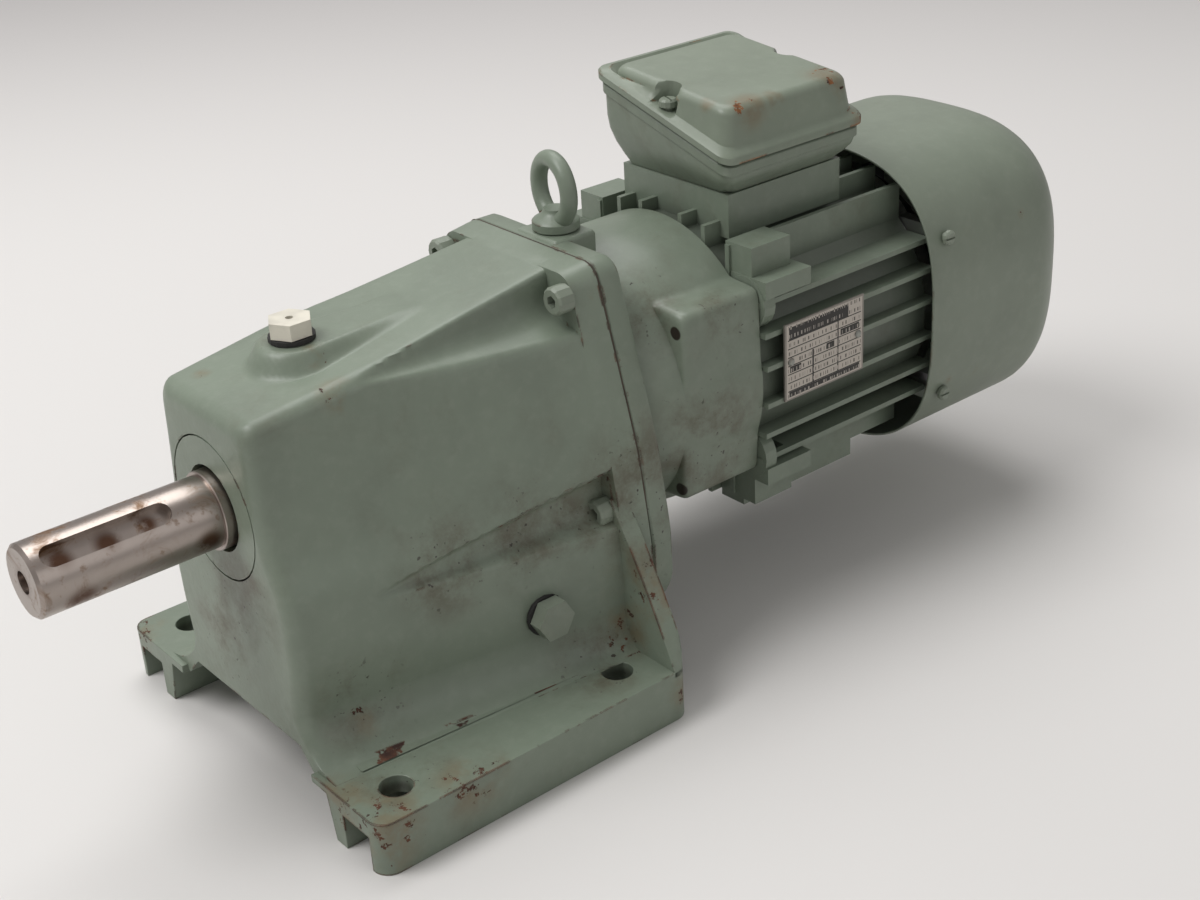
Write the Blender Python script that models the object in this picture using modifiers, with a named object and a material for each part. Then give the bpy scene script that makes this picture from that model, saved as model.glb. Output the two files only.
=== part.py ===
"""Foot-mounted gear motor, built from separate pieces.

The cast housing stands on a footed base. Its output shaft points to -X and the
motor's fan cowl to +X. Two pairs of gears join the rotor to the output shaft.
Lengths are in metres, +Z is up, and the origin is on the floor, midway between
the tip of the shaft and the back of the cowl.
"""
import math

import bmesh
import bpy
from mathutils import Matrix, Vector

MM = 0.001
GAP = 0.3 * MM
SINK = 0.4 * MM
OBJECT_NAME = "gear_motor"

# Output shaft
SHAFT_DIAMETER = 32 * MM
SHAFT_PROJECTION = 84 * MM
SHAFT_CHAMFER = 1.5 * MM
SHAFT_HEIGHT = 130 * MM
CENTRE_HOLE = 10 * MM
KEYWAY_WIDTH = 10 * MM
KEYWAY_DEPTH = 5 * MM
KEYWAY_LENGTH = 56 * MM
KEYWAY_SETBACK = 5 * MM
KEYWAY_TURN = math.radians(38)
JOURNAL_DIAMETER = 35 * MM
JOURNAL_REACH = 4 * MM
GEAR_SEAT_DIAMETER = 40 * MM
SHAFT_COLLAR = 3 * MM

# Gear train
MODULE = 1.5 * MM
OUTPUT_GEAR_TEETH = 50
LAY_PINION_TEETH = 10
INPUT_GEAR_TEETH = 40
MOTOR_PINION_TEETH = 10
TOOTH_ADDENDUM = 0.8
TOOTH_DEDENDUM = 1.1
TOOTH_SLACK = 0.15
OUTPUT_GEAR_WIDTH = 24 * MM
INPUT_GEAR_WIDTH = 18 * MM
GEAR_SPACING = 20 * MM
OUTPUT_GEAR_SETBACK = 11 * MM
PINION_OVERHANG = 2 * MM
KEY_SIZE = 5 * MM
LAY_JOURNAL = 10 * MM
LAY_SEAT = 17 * MM
LAY_COLLAR = 2 * MM

# Bearings, and the lip seals beside them
BIG_BEARING_OD = 55 * MM
BIG_BEARING_WIDTH = 10 * MM
SMALL_BEARING_OD = 26 * MM
SMALL_BEARING_WIDTH = 8 * MM
MOTOR_BEARING_OD = 40 * MM
MOTOR_BEARING_BORE = 17 * MM
MOTOR_BEARING_WIDTH = 12 * MM
OUTPUT_SEAL_WIDTH = 8 * MM
INPUT_SEAL_OD = 34 * MM
COVER_RING_OD = 64 * MM
COVER_RING_WIDTH = 6 * MM

# Gear housing
HOUSING_LENGTH = 172 * MM
HOUSING_WALL = 11 * MM
HOUSING_FLOOR = 15 * MM
FRONT_WALL = 20 * MM
GEAR_SPACE = 96 * MM
HUB_LENGTH = HOUSING_LENGTH - GEAR_SPACE
WEB_THICKNESS = 15 * MM
SUMP_HEIGHT = 35 * MM
OIL_PASSAGE_DIAMETER = 14 * MM
ROOF_ABOVE_SHAFT = (47.5 * MM, 70 * MM)
ROOF_HEIGHT = tuple(SHAFT_HEIGHT + rise for rise in ROOF_ABOVE_SHAFT)
ROOF_HALF_WIDTH = (36.5 * MM, 48 * MM)
ROOF_CORNER = (5 * MM, 9 * MM)
# Half widths at the front face and at the joint, at four heights
LEVELS_BELOW_SHAFT = (5 * MM, 31 * MM, 58 * MM)
WAIST_HEIGHT = 47 * MM
WALL_LEVELS = tuple(SHAFT_HEIGHT - drop for drop in LEVELS_BELOW_SHAFT) + (WAIST_HEIGHT,)
WALL_HALF_WIDTHS = ((40.5 * MM, 67 * MM), (50 * MM, 72 * MM), (50.5 * MM, 76 * MM), (47.5 * MM, 77 * MM))
FLARE_REACH = (26 * MM, 9 * MM)
FLARE_ANGLES = [math.radians(a) for a in (30, 60, 90)]
FRONT_ROUNDING = 7 * MM
ARCH_BELOW_SHAFT = 97 * MM
ARCH_HEIGHT = SHAFT_HEIGHT - ARCH_BELOW_SHAFT
ARCH_TOP_HALF = 44 * MM
ARCH_STEP_HALF = 54 * MM

# Foot
FOOT_WIDTH = 214 * MM
FOOT_LENGTH = 168 * MM
FOOT_LEAD = 3 * MM
FOOT_HEIGHT = 25.8 * MM
FOOT_CORNER = 8 * MM
FOOT_RIM = 9 * MM
FOOT_SLOT = 19 * MM
FOOT_SLOT_HEIGHT = 17 * MM
FOOT_LEG = 8 * MM
FOOT_BAY_HEIGHT = 22 * MM
FOOT_HOLE_DIAMETER = 14.5 * MM
FOOT_HOLE_PITCH = (120 * MM, 175 * MM)
FOOT_HOLE_SETBACK = 18.7 * MM
RIB_THICKNESS = 9 * MM
RIB_BELOW_SHAFT = 31 * MM
RIB_HEIGHT = SHAFT_HEIGHT - RIB_BELOW_SHAFT

# Breather with its boss, and drain plug
BOSS_X = 47 * MM
BOSS_RADIUS = 15 * MM
BOSS_STEP = 5.89 * MM
BOSS_TAIL = 64 * MM
BOSS_TAIL_RADIUS = 7 * MM
PLUG_HEX = 17 * MM
PLUG_HEAD = 7 * MM
PLUG_THREAD = 12 * MM
PLUG_REACH = 9 * MM
WASHER_DIAMETER = 20 * MM
WASHER_THICKNESS = 2 * MM
VENT_DIAMETER = 3.5 * MM
DRAIN_X = 116 * MM
DRAIN_HEIGHT = 57 * MM
SPOT_FACE_DIAMETER = 24 * MM

# Screws of the housing joint, and the tapered pockets that lead to them
SCREW_LAND = 14 * MM
SCREW_DIAMETER = 8 * MM
SCREW_HEAD_DIAMETER = 13 * MM
SCREW_SOCKET = 6 * MM
UPPER_SCREW_INSET = (5 * MM, 11.5 * MM)
UPPER_POCKET_INSET = (1 * MM, 8 * MM)
UPPER_POCKET_START = 46 * MM
UPPER_POCKET_RADIUS = 17 * MM
LOWER_SCREW_INSET = 10 * MM
LOWER_SCREW_DROP = 38 * MM
LOWER_SCREW_HEIGHT = SHAFT_HEIGHT - LOWER_SCREW_DROP
LOWER_POCKET_INSET = 4 * MM
LOWER_POCKET_DROP = (38 * MM, 33 * MM)
LOWER_POCKET_HEIGHT = tuple(SHAFT_HEIGHT - drop for drop in LOWER_POCKET_DROP)
LOWER_POCKET_START = 50 * MM
LOWER_POCKET_RADIUS = 14.6 * MM
POCKET_WALL = 5 * MM

# Joint, rear flange and eye bolt
GASKET_THICKNESS = 0.8 * MM
FLANGE_THICKNESS = 12.5 * MM
FLANGE_CORNER = 22 * MM
EYE_SETBACK = 16 * MM
EYE_PAD_HALF = 15 * MM
EYE_PAD_DEPTH = 12 * MM
EYE_PAD_RISE = 1 * MM
EYE_PAD_REACH = 14 * MM
EYE_COLLAR_DIAMETER = 22 * MM
EYE_COLLAR_HEIGHT = 6 * MM
EYE_RING_DIAMETER = 28 * MM
EYE_RING_BAR = 8 * MM
EYE_THREAD_LENGTH = 9 * MM
EYE_TURN = math.radians(-10)

# Motor adapter
ADAPTER_LENGTH = 64 * MM
ADAPTER_RADIUS = 69.5 * MM
ADAPTER_NECK_RADIUS = 61 * MM
ADAPTER_WALL = 6 * MM
ADAPTER_RIM = 24 * MM
LUG_RADIUS = 13 * MM
LUG_LENGTH = 46 * MM
LUG_PLACE = (57 * MM, 39 * MM)
LUG_DIMPLE = 7 * MM
LUG_SCREW_DIAMETER = 6 * MM
LUG_SCREW_HEAD = 4 * MM
LUG_SCREW_HEX = 10 * MM
LUG_SCREW_LENGTH = 24 * MM

# Motor
FRAME_LENGTH = 116 * MM
FRAME_BORE = 116 * MM
FRAME_WALL = 8.5 * MM
FIN_REACH = 72 * MM
FIN_THICKNESS = 2.6 * MM
SIDE_FINS = (-40 * MM, -25.5 * MM, -9.5 * MM, 9.5 * MM, 25.5 * MM, 40 * MM)
TOP_FINS = (-46 * MM, -30 * MM, -14 * MM, 14 * MM, 30 * MM, 46 * MM)
EAR_THICKNESS = 6 * MM
BLOCK_LENGTH = 30 * MM
# Edges across and edges above the motor's axis, of the two blocks at each front corner
CORNER_BLOCKS = (((46 * MM, 70.5 * MM), (43.5 * MM, 52 * MM)), ((44 * MM, 61 * MM), (46.5 * MM, 66 * MM)))
FRAME_PAD_LENGTH = 76 * MM
FRAME_PAD_EDGES = (32.2 * MM, 48 * MM)
CORE_LENGTH = 40 * MM
CORE_SETBACK = 23 * MM
CORE_BORE = 72 * MM
AIR_GAP = 0.8 * MM
WINDING_LENGTH = 10 * MM
WINDING_RADII = (42 * MM, 53 * MM)
ROTOR_DIAMETER = 20 * MM
NOSE_DIAMETER = 15 * MM
SHANK_DIAMETER = 10 * MM
SHANK_LENGTH = 30 * MM
SHIELD_THICKNESS = 8 * MM
SHIELD_RADIUS = 66 * MM
FAN_RADIUS = 58 * MM
FAN_HUB_RADIUS = 14 * MM
FAN_BLADES = 7
FAN_BLADE_THICKNESS = 2.4 * MM
FAN_WIDTH = 26 * MM
FAN_CLEARANCE = 9 * MM

# Fan cowl
ROUNDNESS = 2.9
COWL_HALF_WIDTH = 78.5 * MM
COWL_LENGTH = 116 * MM
COWL_OVERLAP = 8 * MM
COWL_THICKNESS = 1 * MM
COWL_FILLET = 33 * MM
COWL_SCREW_DIAMETER = 4 * MM
COWL_SCREW_HEAD = 7.6 * MM
COWL_SCREW_RISE = 42 * MM
COWL_LUG_HALF = 5 * MM
GRILLE_RADII = (16 * MM, 30 * MM)
GRILLE_SLOT = 6 * MM
GRILLE_SPOKES = 4
GRILLE_SPOKE_WIDTH = 6 * MM

# Terminal box
BOX_SETBACK = 47 * MM
BOX_PAD_LENGTH = 74 * MM
BOX_PAD_HALF = 37 * MM
BOX_PAD_RISE = 83.5 * MM
BOX_RIM_LENGTH = 92 * MM
BOX_RIM_HALF = 46 * MM
BOX_RIM_RISE = (15.5 * MM, 42 * MM)
BOX_EDGE = 5 * MM
BOX_EDGE_INSET = 1.5 * MM
BOX_EDGE_WIDTH = 11 * MM
BOX_WALL = 3 * MM
BOX_CORNER = 6 * MM
BOX_SEAL = 1.2 * MM
COVER_EDGE = 4 * MM
COVER_LIP = 6 * MM
COVER_TOP_RISE = (41 * MM, 50 * MM)
COVER_TOP_INSET = (8 * MM, 10 * MM)
COVER_ROUNDING = 2 * MM
COVER_SCREW_DIAMETER = 5 * MM
COVER_SCREW_HEAD = 9 * MM
COVER_SCREW_INSET = 7 * MM
DIMPLE_RADIUS = 6 * MM
WIRE_WAY_DIAMETER = 20 * MM
BOARD_SIZE = (44 * MM, 32 * MM, 8 * MM)
TERMINAL_PITCH = (14 * MM, 18 * MM)
TERMINAL_DIAMETER = 5 * MM
GLAND_DIAMETER = 20 * MM
GLAND_LENGTH = 14 * MM

# Nameplate
PLATE_LENGTH = 53 * MM
PLATE_HEIGHT = 39 * MM
PLATE_THICKNESS = 1 * MM
PLATE_SETBACK = 10 * MM
PLATE_RISE = 9.5 * MM
RIVET_DIAMETER = 4 * MM
RIVET_HEIGHT = 1 * MM

# Places along X, as distances behind the housing's front face
FLANGE_START = HOUSING_LENGTH + GASKET_THICKNESS + GAP
FLANGE_END = FLANGE_START + FLANGE_THICKNESS
ADAPTER_START = FLANGE_END + GAP
ADAPTER_END = ADAPTER_START + ADAPTER_LENGTH
FRAME_START = ADAPTER_END + GAP
FRAME_END = FRAME_START + FRAME_LENGTH
SHIELD_START = FRAME_END + GAP
SHIELD_END = SHIELD_START + SHIELD_THICKNESS
COWL_START = FRAME_END - COWL_OVERLAP
COWL_END = COWL_START + COWL_LENGTH
POCKET_END = HOUSING_LENGTH - SCREW_LAND
EYE_X = HOUSING_LENGTH + EYE_SETBACK
BOX_X = FRAME_START + BOX_SETBACK
COWL_SCREW_X = SHIELD_START + SHIELD_THICKNESS / 2
OUTPUT_GEAR_START = HUB_LENGTH + OUTPUT_GEAR_SETBACK
INPUT_GEAR_START = OUTPUT_GEAR_START + OUTPUT_GEAR_WIDTH + GEAR_SPACING
PINION_END = INPUT_GEAR_START + INPUT_GEAR_WIDTH + PINION_OVERHANG
NOSE_START = PINION_END + 6 * MM
FRONT_BEARING_START = COVER_RING_WIDTH + OUTPUT_SEAL_WIDTH + 3 * GAP
REAR_BEARING_START = HUB_LENGTH - BIG_BEARING_WIDTH
LAY_FRONT_START = HUB_LENGTH - SMALL_BEARING_WIDTH
LAY_REAR_START = FLANGE_START + 2 * GAP
DRIVE_BEARING_START = ADAPTER_END - MOTOR_BEARING_WIDTH - 2 * GAP
FAN_BEARING_START = SHIELD_START + GAP
FAN_START = SHIELD_END + FAN_CLEARANCE
CORE_START = FRAME_START + CORE_SETBACK
CORE_END = CORE_START + CORE_LENGTH
FACE_X = (SHAFT_PROJECTION - COWL_END) / 2

# Heights
LAY_HEIGHT = SHAFT_HEIGHT - MODULE * (OUTPUT_GEAR_TEETH + LAY_PINION_TEETH) / 2
MOTOR_HEIGHT = LAY_HEIGHT + MODULE * (INPUT_GEAR_TEETH + MOTOR_PINION_TEETH) / 2
BOSS_ROOT = BOSS_X + BOSS_RADIUS
BOSS_TOP = ROOF_HEIGHT[0] + (ROOF_HEIGHT[1] - ROOF_HEIGHT[0]) * BOSS_ROOT / HOUSING_LENGTH + BOSS_STEP
EYE_PAD_TOP = ROOF_HEIGHT[1] + EYE_PAD_RISE
BOX_BOTTOM = MOTOR_HEIGHT + BOX_PAD_RISE

ALONG_X = (math.pi / 2, 0, math.pi / 2)
ROUND = 32


def clear_scene():
    for item in list(bpy.data.objects):
        bpy.data.objects.remove(item)


def make_collection(name):
    collection = bpy.data.collections.new(name)
    bpy.context.scene.collection.children.link(collection)
    return collection


def material(name, colour, roughness, metallic):
    shade = bpy.data.materials.new(name)
    shade.use_nodes = True
    bsdf = shade.node_tree.nodes["Principled BSDF"]
    bsdf.inputs["Base Color"].default_value = (*colour, 1)
    bsdf.inputs["Roughness"].default_value = roughness
    bsdf.inputs["Metallic"].default_value = metallic
    return shade


clear_scene()
PARTS = make_collection(OBJECT_NAME)
CUTTERS = make_collection("cutters")
GREEN_PAINT = material("green_paint", (0.24, 0.29, 0.22), 0.45, 0.0)
STEEL = material("bright_steel", (0.48, 0.45, 0.42), 0.3, 1.0)
GEAR_STEEL = material("gear_steel", (0.35, 0.35, 0.36), 0.35, 1.0)
BEARING_STEEL = material("bearing_steel", (0.6, 0.6, 0.62), 0.2, 1.0)
ZINC = material("zinc", (0.5, 0.52, 0.5), 0.4, 1.0)
RUBBER = material("black_rubber", (0.02, 0.02, 0.02), 0.7, 0.0)
GASKET = material("gasket_paper", (0.12, 0.1, 0.08), 0.9, 0.0)
WHITE_PLASTIC = material("white_plastic", (0.8, 0.76, 0.68), 0.45, 0.0)
BLACK_PLASTIC = material("black_plastic", (0.03, 0.03, 0.03), 0.5, 0.0)
LAMINATION = material("lamination", (0.2, 0.2, 0.22), 0.5, 1.0)
COPPER = material("copper_winding", (0.5, 0.2, 0.09), 0.4, 1.0)
CAST_ALUMINIUM = material("cast_aluminium", (0.5, 0.5, 0.5), 0.5, 1.0)
PLATE_METAL = material("plate_metal", (0.62, 0.6, 0.56), 0.35, 1.0)


def adopt(name, mesh, shade):
    """Makes an object of a mesh. One without a material is a cutter."""
    item = bpy.data.objects.new(name, mesh)
    if shade:
        PARTS.objects.link(item)
        mesh.materials.clear()
        mesh.materials.append(shade)
    else:
        CUTTERS.objects.link(item)
        item.hide_render = True
        item.display_type = "WIRE"
    return item


def from_bmesh(name, form, shade):
    mesh = bpy.data.meshes.new(name)
    bmesh.ops.recalc_face_normals(form, faces=form.faces)
    form.to_mesh(mesh)
    form.free()
    return adopt(name, mesh, shade)


def box(name, xs, ys, zs, shade=None):
    """A box over three pairs of limits, each pair in either order."""
    form = bmesh.new()
    pairs = [sorted(pair) for pair in (xs, ys, zs)]
    size = [b - a for a, b in pairs]
    middle = [(a + b) / 2 for a, b in pairs]
    bmesh.ops.create_cube(form, size=1, matrix=Matrix.LocRotScale(middle, None, size))
    return from_bmesh(name, form, shade)


def rod(name, start, end, radius, sides=16, end_radius=None):
    """A cutter shaped as a cylinder, or a cone, from one point to another."""
    start, end = Vector(start), Vector(end)
    form = bmesh.new()
    turn = (end - start).to_track_quat("Z", "Y").to_matrix().to_4x4()
    tip = radius if end_radius is None else end_radius
    bmesh.ops.create_cone(form, cap_ends=True, segments=sides, radius1=radius, radius2=tip,
                          depth=(end - start).length,
                          matrix=Matrix.Translation((start + end) / 2) @ turn)
    return from_bmesh(name, form, None)


def rod_x(name, start, end, y, z, radius, sides=16):
    """A cylinder cutter along X, between two distances behind the housing's face."""
    return rod(name, (FACE_X + start, y, z), (FACE_X + end, y, z), radius, sides)


def turned(name, profile, centre, shade, closed=False, steps=ROUND, rotation=ALONG_X):
    """A profile of (place along the axis, radius) points turned about the axis.

    The points run down the outer side, from the far end of the axis to the near one.
    """
    form = bmesh.new()
    points = [form.verts.new((radius, 0, along)) for along, radius in profile]
    for a, b in zip(points, points[1:]):
        form.edges.new((a, b))
    if closed:
        form.edges.new((points[-1], points[0]))
    mesh = bpy.data.meshes.new(name)
    form.to_mesh(mesh)
    form.free()
    item = adopt(name, mesh, shade)
    item.location = centre
    item.rotation_euler = rotation
    spin = item.modifiers.new("turn", "SCREW")
    spin.steps = steps
    spin.render_steps = steps
    spin.use_merge_vertices = True
    spin.merge_threshold = 0.00001
    return item


def ring(name, start, end, inner, outer, z, shade, steps=ROUND):
    """A plain ring round an axis along X."""
    profile = [(end, outer), (start, outer), (start, inner), (end, inner)]
    return smooth(turned(name, profile, (FACE_X, 0, z), shade, closed=True, steps=steps))


def flat(name, outlines, thickness, centre, shade=None, rotation=ALONG_X):
    """Closed outlines filled and given a thickness along the local Z axis."""
    curve = bpy.data.curves.new(name, "CURVE")
    curve.dimensions = "2D"
    curve.fill_mode = "BOTH"
    curve.extrude = thickness / 2
    for outline in outlines:
        spline = curve.splines.new("POLY")
        spline.points.add(len(outline) - 1)
        for point, (u, v) in zip(spline.points, outline):
            point.co = (u, v, 0, 1)
        spline.use_cyclic_u = True
    item = bpy.data.objects.new(name, curve)
    bpy.context.scene.collection.objects.link(item)
    item.location = centre
    item.rotation_euler = rotation
    return meshed(item, shade)


def meshed(curve_item, shade):
    """Turns a curve object into a mesh object with welded caps, in the same place."""
    bpy.context.view_layer.update()
    graph = bpy.context.evaluated_depsgraph_get()
    mesh = bpy.data.meshes.new_from_object(curve_item.evaluated_get(graph))
    form = bmesh.new()
    form.from_mesh(mesh)
    bmesh.ops.remove_doubles(form, verts=form.verts, dist=0.00001)
    bmesh.ops.dissolve_limit(form, angle_limit=0.001, verts=form.verts, edges=form.edges)
    bmesh.ops.recalc_face_normals(form, faces=form.faces)
    form.to_mesh(mesh)
    form.free()
    name = curve_item.name
    place = curve_item.matrix_world.copy()
    bpy.data.objects.remove(curve_item)
    item = adopt(name, mesh, shade)
    item.matrix_world = place
    return item


def boolean(item, cutter, operation):
    step = item.modifiers.new(operation.lower(), "BOOLEAN")
    step.operation = operation
    step.solver = "EXACT"
    step.object = cutter


def cut(item, *cutters):
    for cutter in cutters:
        boolean(item, cutter, "DIFFERENCE")
    return item


def join(item, *others):
    for other in others:
        boolean(item, other, "UNION")
    return item


def smooth(item, angle=35):
    item.data.shade_smooth()
    item.data.set_sharp_from_angle(angle=math.radians(angle))
    return item


def arc(centre, radius, start, end, steps):
    """Points on an arc, from one angle to another, both in degrees."""
    turns = [math.radians(start + (end - start) * k / steps) for k in range(steps + 1)]
    return [(centre[0] + radius * math.cos(a), centre[1] + radius * math.sin(a)) for a in turns]


def mix(pair, share):
    return pair[0] + (pair[1] - pair[0]) * share


def hexagon(across_flats):
    return arc((0, 0), across_flats / math.sqrt(3), 0, 300, 5)


def rounded(reach, across):
    """How far a rounded square reaches at a distance to one side of its middle."""
    return (reach ** ROUNDNESS - abs(across) ** ROUNDNESS) ** (1 / ROUNDNESS)


def spread(y, z):
    """The same place on the near side and on the far side."""
    return [(-y, z), (y, z)]


def bridge(form, one, two):
    """Faces between two closed loops with the same number of vertices."""
    for k in range(len(one)):
        j = (k + 1) % len(one)
        form.faces.new((one[k], one[j], two[j], two[k]))


def facing(direction):
    """The turn that points an object's local Z axis along a direction."""
    return Vector(direction).to_track_quat("Z", "Y").to_euler()


def wall_half_width(offset, height):
    """Half width of the housing at a distance behind its face, at a height up to the top wall level."""
    levels = list(zip(WALL_LEVELS, WALL_HALF_WIDTHS))
    share = offset / HOUSING_LENGTH
    for (high, wide), (low, wide_low) in zip(levels, levels[1:]):
        if height >= low:
            return mix((mix(wide_low, share), mix(wide, share)), (height - low) / (high - low))
    return mix(WALL_HALF_WIDTHS[-1], share)


def roof_height(offset):
    return mix(ROOF_HEIGHT, offset / HOUSING_LENGTH)


def roof_half(offset, inset=0.0):
    """Points from the middle of the roof out and down to the third wall level."""
    share = offset / HOUSING_LENGTH
    roof = roof_height(offset) - inset
    wide = mix(ROOF_HALF_WIDTH, share) - inset
    corner = mix(ROOF_CORNER, share)
    points = [(0, roof)] + arc((wide - corner, roof - corner), corner, 90, 10, 3)
    return points + [(mix(half, share) - inset, high) for high, half in zip(WALL_LEVELS[:3], WALL_HALF_WIDTHS)]


def outer_half(offset):
    """The half section of the housing's outside, from the roof round to the arch beneath."""
    share = offset / HOUSING_LENGTH
    waist, low = mix(WALL_HALF_WIDTHS[3], share), WALL_LEVELS[3]
    reach = mix(FLARE_REACH, share)
    drop = low - FOOT_HEIGHT + 2 * MM
    flare = [(waist + reach * (1 - math.cos(a)), low - drop * math.sin(a)) for a in FLARE_ANGLES]
    arch = [(ARCH_STEP_HALF, FOOT_HEIGHT - 3 * MM), (ARCH_TOP_HALF, ARCH_HEIGHT), (0, ARCH_HEIGHT)]
    return roof_half(offset) + [(waist, low)] + flare + arch


def rounded_front(offset):
    """The outer half section, drawn in towards the front face so that its edges are rounded."""
    points = outer_half(offset)
    if offset >= FRONT_ROUNDING:
        return points
    share = 1 - offset / FRONT_ROUNDING
    inset = FRONT_ROUNDING * (1 - math.sqrt(1 - share * share))
    roof = points[0][1] - inset
    shaped = []
    for y, z in points:
        above_flare = min(1, max(0, (z - FOOT_HEIGHT) / (WALL_LEVELS[3] - FOOT_HEIGHT)))
        in_arch = z <= ARCH_HEIGHT and y <= ARCH_STEP_HALF
        shaped.append((y if in_arch else max(0, y - inset * above_flare), min(z, roof)))
    return shaped


def inner_half(offset):
    """The half section of the gear room, one wall in from the outside."""
    points = roof_half(offset, HOUSING_WALL)
    floor = ARCH_HEIGHT + HOUSING_FLOOR
    return points + [(points[-1][0] - HOUSING_WALL, floor), (0, floor)]


def loft(name, section, offsets, shade=None):
    """Half sections joined along X, closed at both ends and mirrored across the middle."""
    form = bmesh.new()
    rings = [[form.verts.new((FACE_X + x, y, z)) for y, z in section(x)] for x in offsets]
    for one, two in zip(rings, rings[1:]):
        for a, b, c, d in zip(one, one[1:], two[1:], two):
            form.faces.new((a, b, c, d))
    form.faces.new(rings[0])
    form.faces.new(rings[-1])
    item = from_bmesh(name, form, shade)
    mirror = item.modifiers.new("other_half", "MIRROR")
    mirror.use_axis = (False, True, False)
    mirror.merge_threshold = 0.00001
    return item


def foot_section():
    """The half outline of the foot: a plate with a rim, a slot and an inner leg."""
    wide = FOOT_WIDTH / 2
    slot = wide - FOOT_RIM, wide - FOOT_RIM - FOOT_SLOT
    leg = slot[1] - FOOT_LEG
    inside = ARCH_STEP_HALF + 2 * MM
    return [(inside, FOOT_HEIGHT), (wide + MM, FOOT_HEIGHT), (wide + MM, 0), (slot[0], 0),
            (slot[0], FOOT_SLOT_HEIGHT), (slot[1], FOOT_SLOT_HEIGHT), (slot[1], 0), (leg, 0),
            (leg - 4 * MM, FOOT_BAY_HEIGHT), (inside, FOOT_BAY_HEIGHT)]


def rib_section():
    """The half outline of the rib that runs from the wall down to the foot's rear corner."""
    wide = FOOT_WIDTH / 2
    root = wall_half_width(HOUSING_LENGTH, WALL_LEVELS[2]) - HOUSING_WALL * 0.8
    rise = RIB_HEIGHT - FOOT_HEIGHT
    sunk = FOOT_HEIGHT - 3 * MM
    shares = (0.2, 0.4, 0.6, 0.8, 1)
    slope = [(wide - (wide - root) * s, FOOT_HEIGHT + rise * s * (1.2 - 0.2 * s)) for s in shares]
    return [(root, sunk), (wide, sunk)] + slope


def foot_side(side):
    """One side of the foot with its rib, trimmed to a plan with rounded corners."""
    word = "far" if side > 0 else "near"
    trim = 2 * MM
    foot = flat(f"foot_{word}", [[(side * y, z) for y, z in foot_section()]], FOOT_LENGTH + 2 * trim,
                (FACE_X - FOOT_LEAD + FOOT_LENGTH / 2, 0, 0))
    rib_length = RIB_THICKNESS + 2 * trim
    rib_middle = FACE_X - FOOT_LEAD + FOOT_LENGTH - RIB_THICKNESS + rib_length / 2
    join(foot, flat(f"rib_{word}", [[(side * y, z) for y, z in rib_section()]], rib_length, (rib_middle, 0, 0)))
    front, rear = -FOOT_LEAD + FOOT_CORNER, FOOT_LENGTH - FOOT_LEAD - FOOT_CORNER
    edge = side * (FOOT_WIDTH / 2 - FOOT_CORNER)
    plan = [(front - FOOT_CORNER, 0), (rear + FOOT_CORNER, 0)]
    plan += arc((rear, edge), FOOT_CORNER, 0, 90 * side, 4)
    plan += arc((front, edge), FOOT_CORNER, 90 * side, 180 * side, 4)
    outline = flat(f"foot_plan_{word}", [plan], 3 * RIB_HEIGHT, (FACE_X, 0, RIB_HEIGHT), rotation=(0, 0, 0))
    boolean(foot, outline, "INTERSECT")
    return foot


def boss_body():
    """The teardrop boss with a level top that carries the breather."""
    outline = arc((0, 0), BOSS_RADIUS, 95, 265, 10)
    outline += arc((BOSS_TAIL, 0), BOSS_TAIL_RADIUS, -80, 80, 5)
    height = BOSS_TOP - ROOF_HEIGHT[0] + HOUSING_WALL / 2
    centre = (FACE_X + BOSS_X, 0, BOSS_TOP - height / 2)
    return flat("boss_body", [outline], height, centre, rotation=(0, 0, 0))


def pockets():
    """Start, end and end radius of the two pockets of a side, as (distance, half width, height)."""
    start, end = UPPER_POCKET_START, POCKET_END
    upper = ((start, mix(ROOF_HALF_WIDTH, start / HOUSING_LENGTH), roof_height(start)),
             (end, ROOF_HALF_WIDTH[1] - UPPER_POCKET_INSET[0], ROOF_HEIGHT[1] - UPPER_POCKET_INSET[1]),
             UPPER_POCKET_RADIUS)
    start = LOWER_POCKET_START
    low, high = LOWER_POCKET_HEIGHT
    lower = ((start, wall_half_width(start, low), low),
             (end, wall_half_width(end, high) - LOWER_POCKET_INSET, high),
             LOWER_POCKET_RADIUS)
    return [upper, lower]


def pocket_cutters():
    """Tapered scoops that give a wrench its way to the housing's screws."""
    cutters = []
    for number, (start, end, radius) in enumerate(pockets()):
        for side in (1, -1):
            a, b = [(FACE_X + x, side * y, z) for x, y, z in (start, end)]
            cutters.append(rod(f"pocket_{number}_{side}", a, b, SINK, 20, radius))
    return cutters


def pocket_walls():
    """The scoops with a wall round them, run on to the joint: what stays solid inside the room."""
    walls = []
    for number, (start, end, radius) in enumerate(pockets()):
        for side in (1, -1):
            a, b = [Vector((FACE_X + x, side * y, z)) for x, y, z in (start, end)]
            reach = (HOUSING_LENGTH + 3 * MM - start[0]) / (end[0] - start[0])
            walls.append(rod(f"pocket_wall_{number}_{side}", a, a + (b - a) * reach, POCKET_WALL, 14,
                             radius * reach + POCKET_WALL))
    return walls


def screw_places():
    """Across and height of each housing screw: upper near, upper far, lower near, lower far."""
    upper = spread(ROOF_HALF_WIDTH[1] - UPPER_SCREW_INSET[0], ROOF_HEIGHT[1] - UPPER_SCREW_INSET[1])
    lower = spread(wall_half_width(HOUSING_LENGTH, LOWER_SCREW_HEIGHT) - LOWER_SCREW_INSET, LOWER_SCREW_HEIGHT)
    return upper + lower


def screw_bores(name, start, end):
    return [rod_x(f"{name}_{n}", start, end, y, z, SCREW_DIAMETER / 2 + GAP, 14)
            for n, (y, z) in enumerate(screw_places())]


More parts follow.
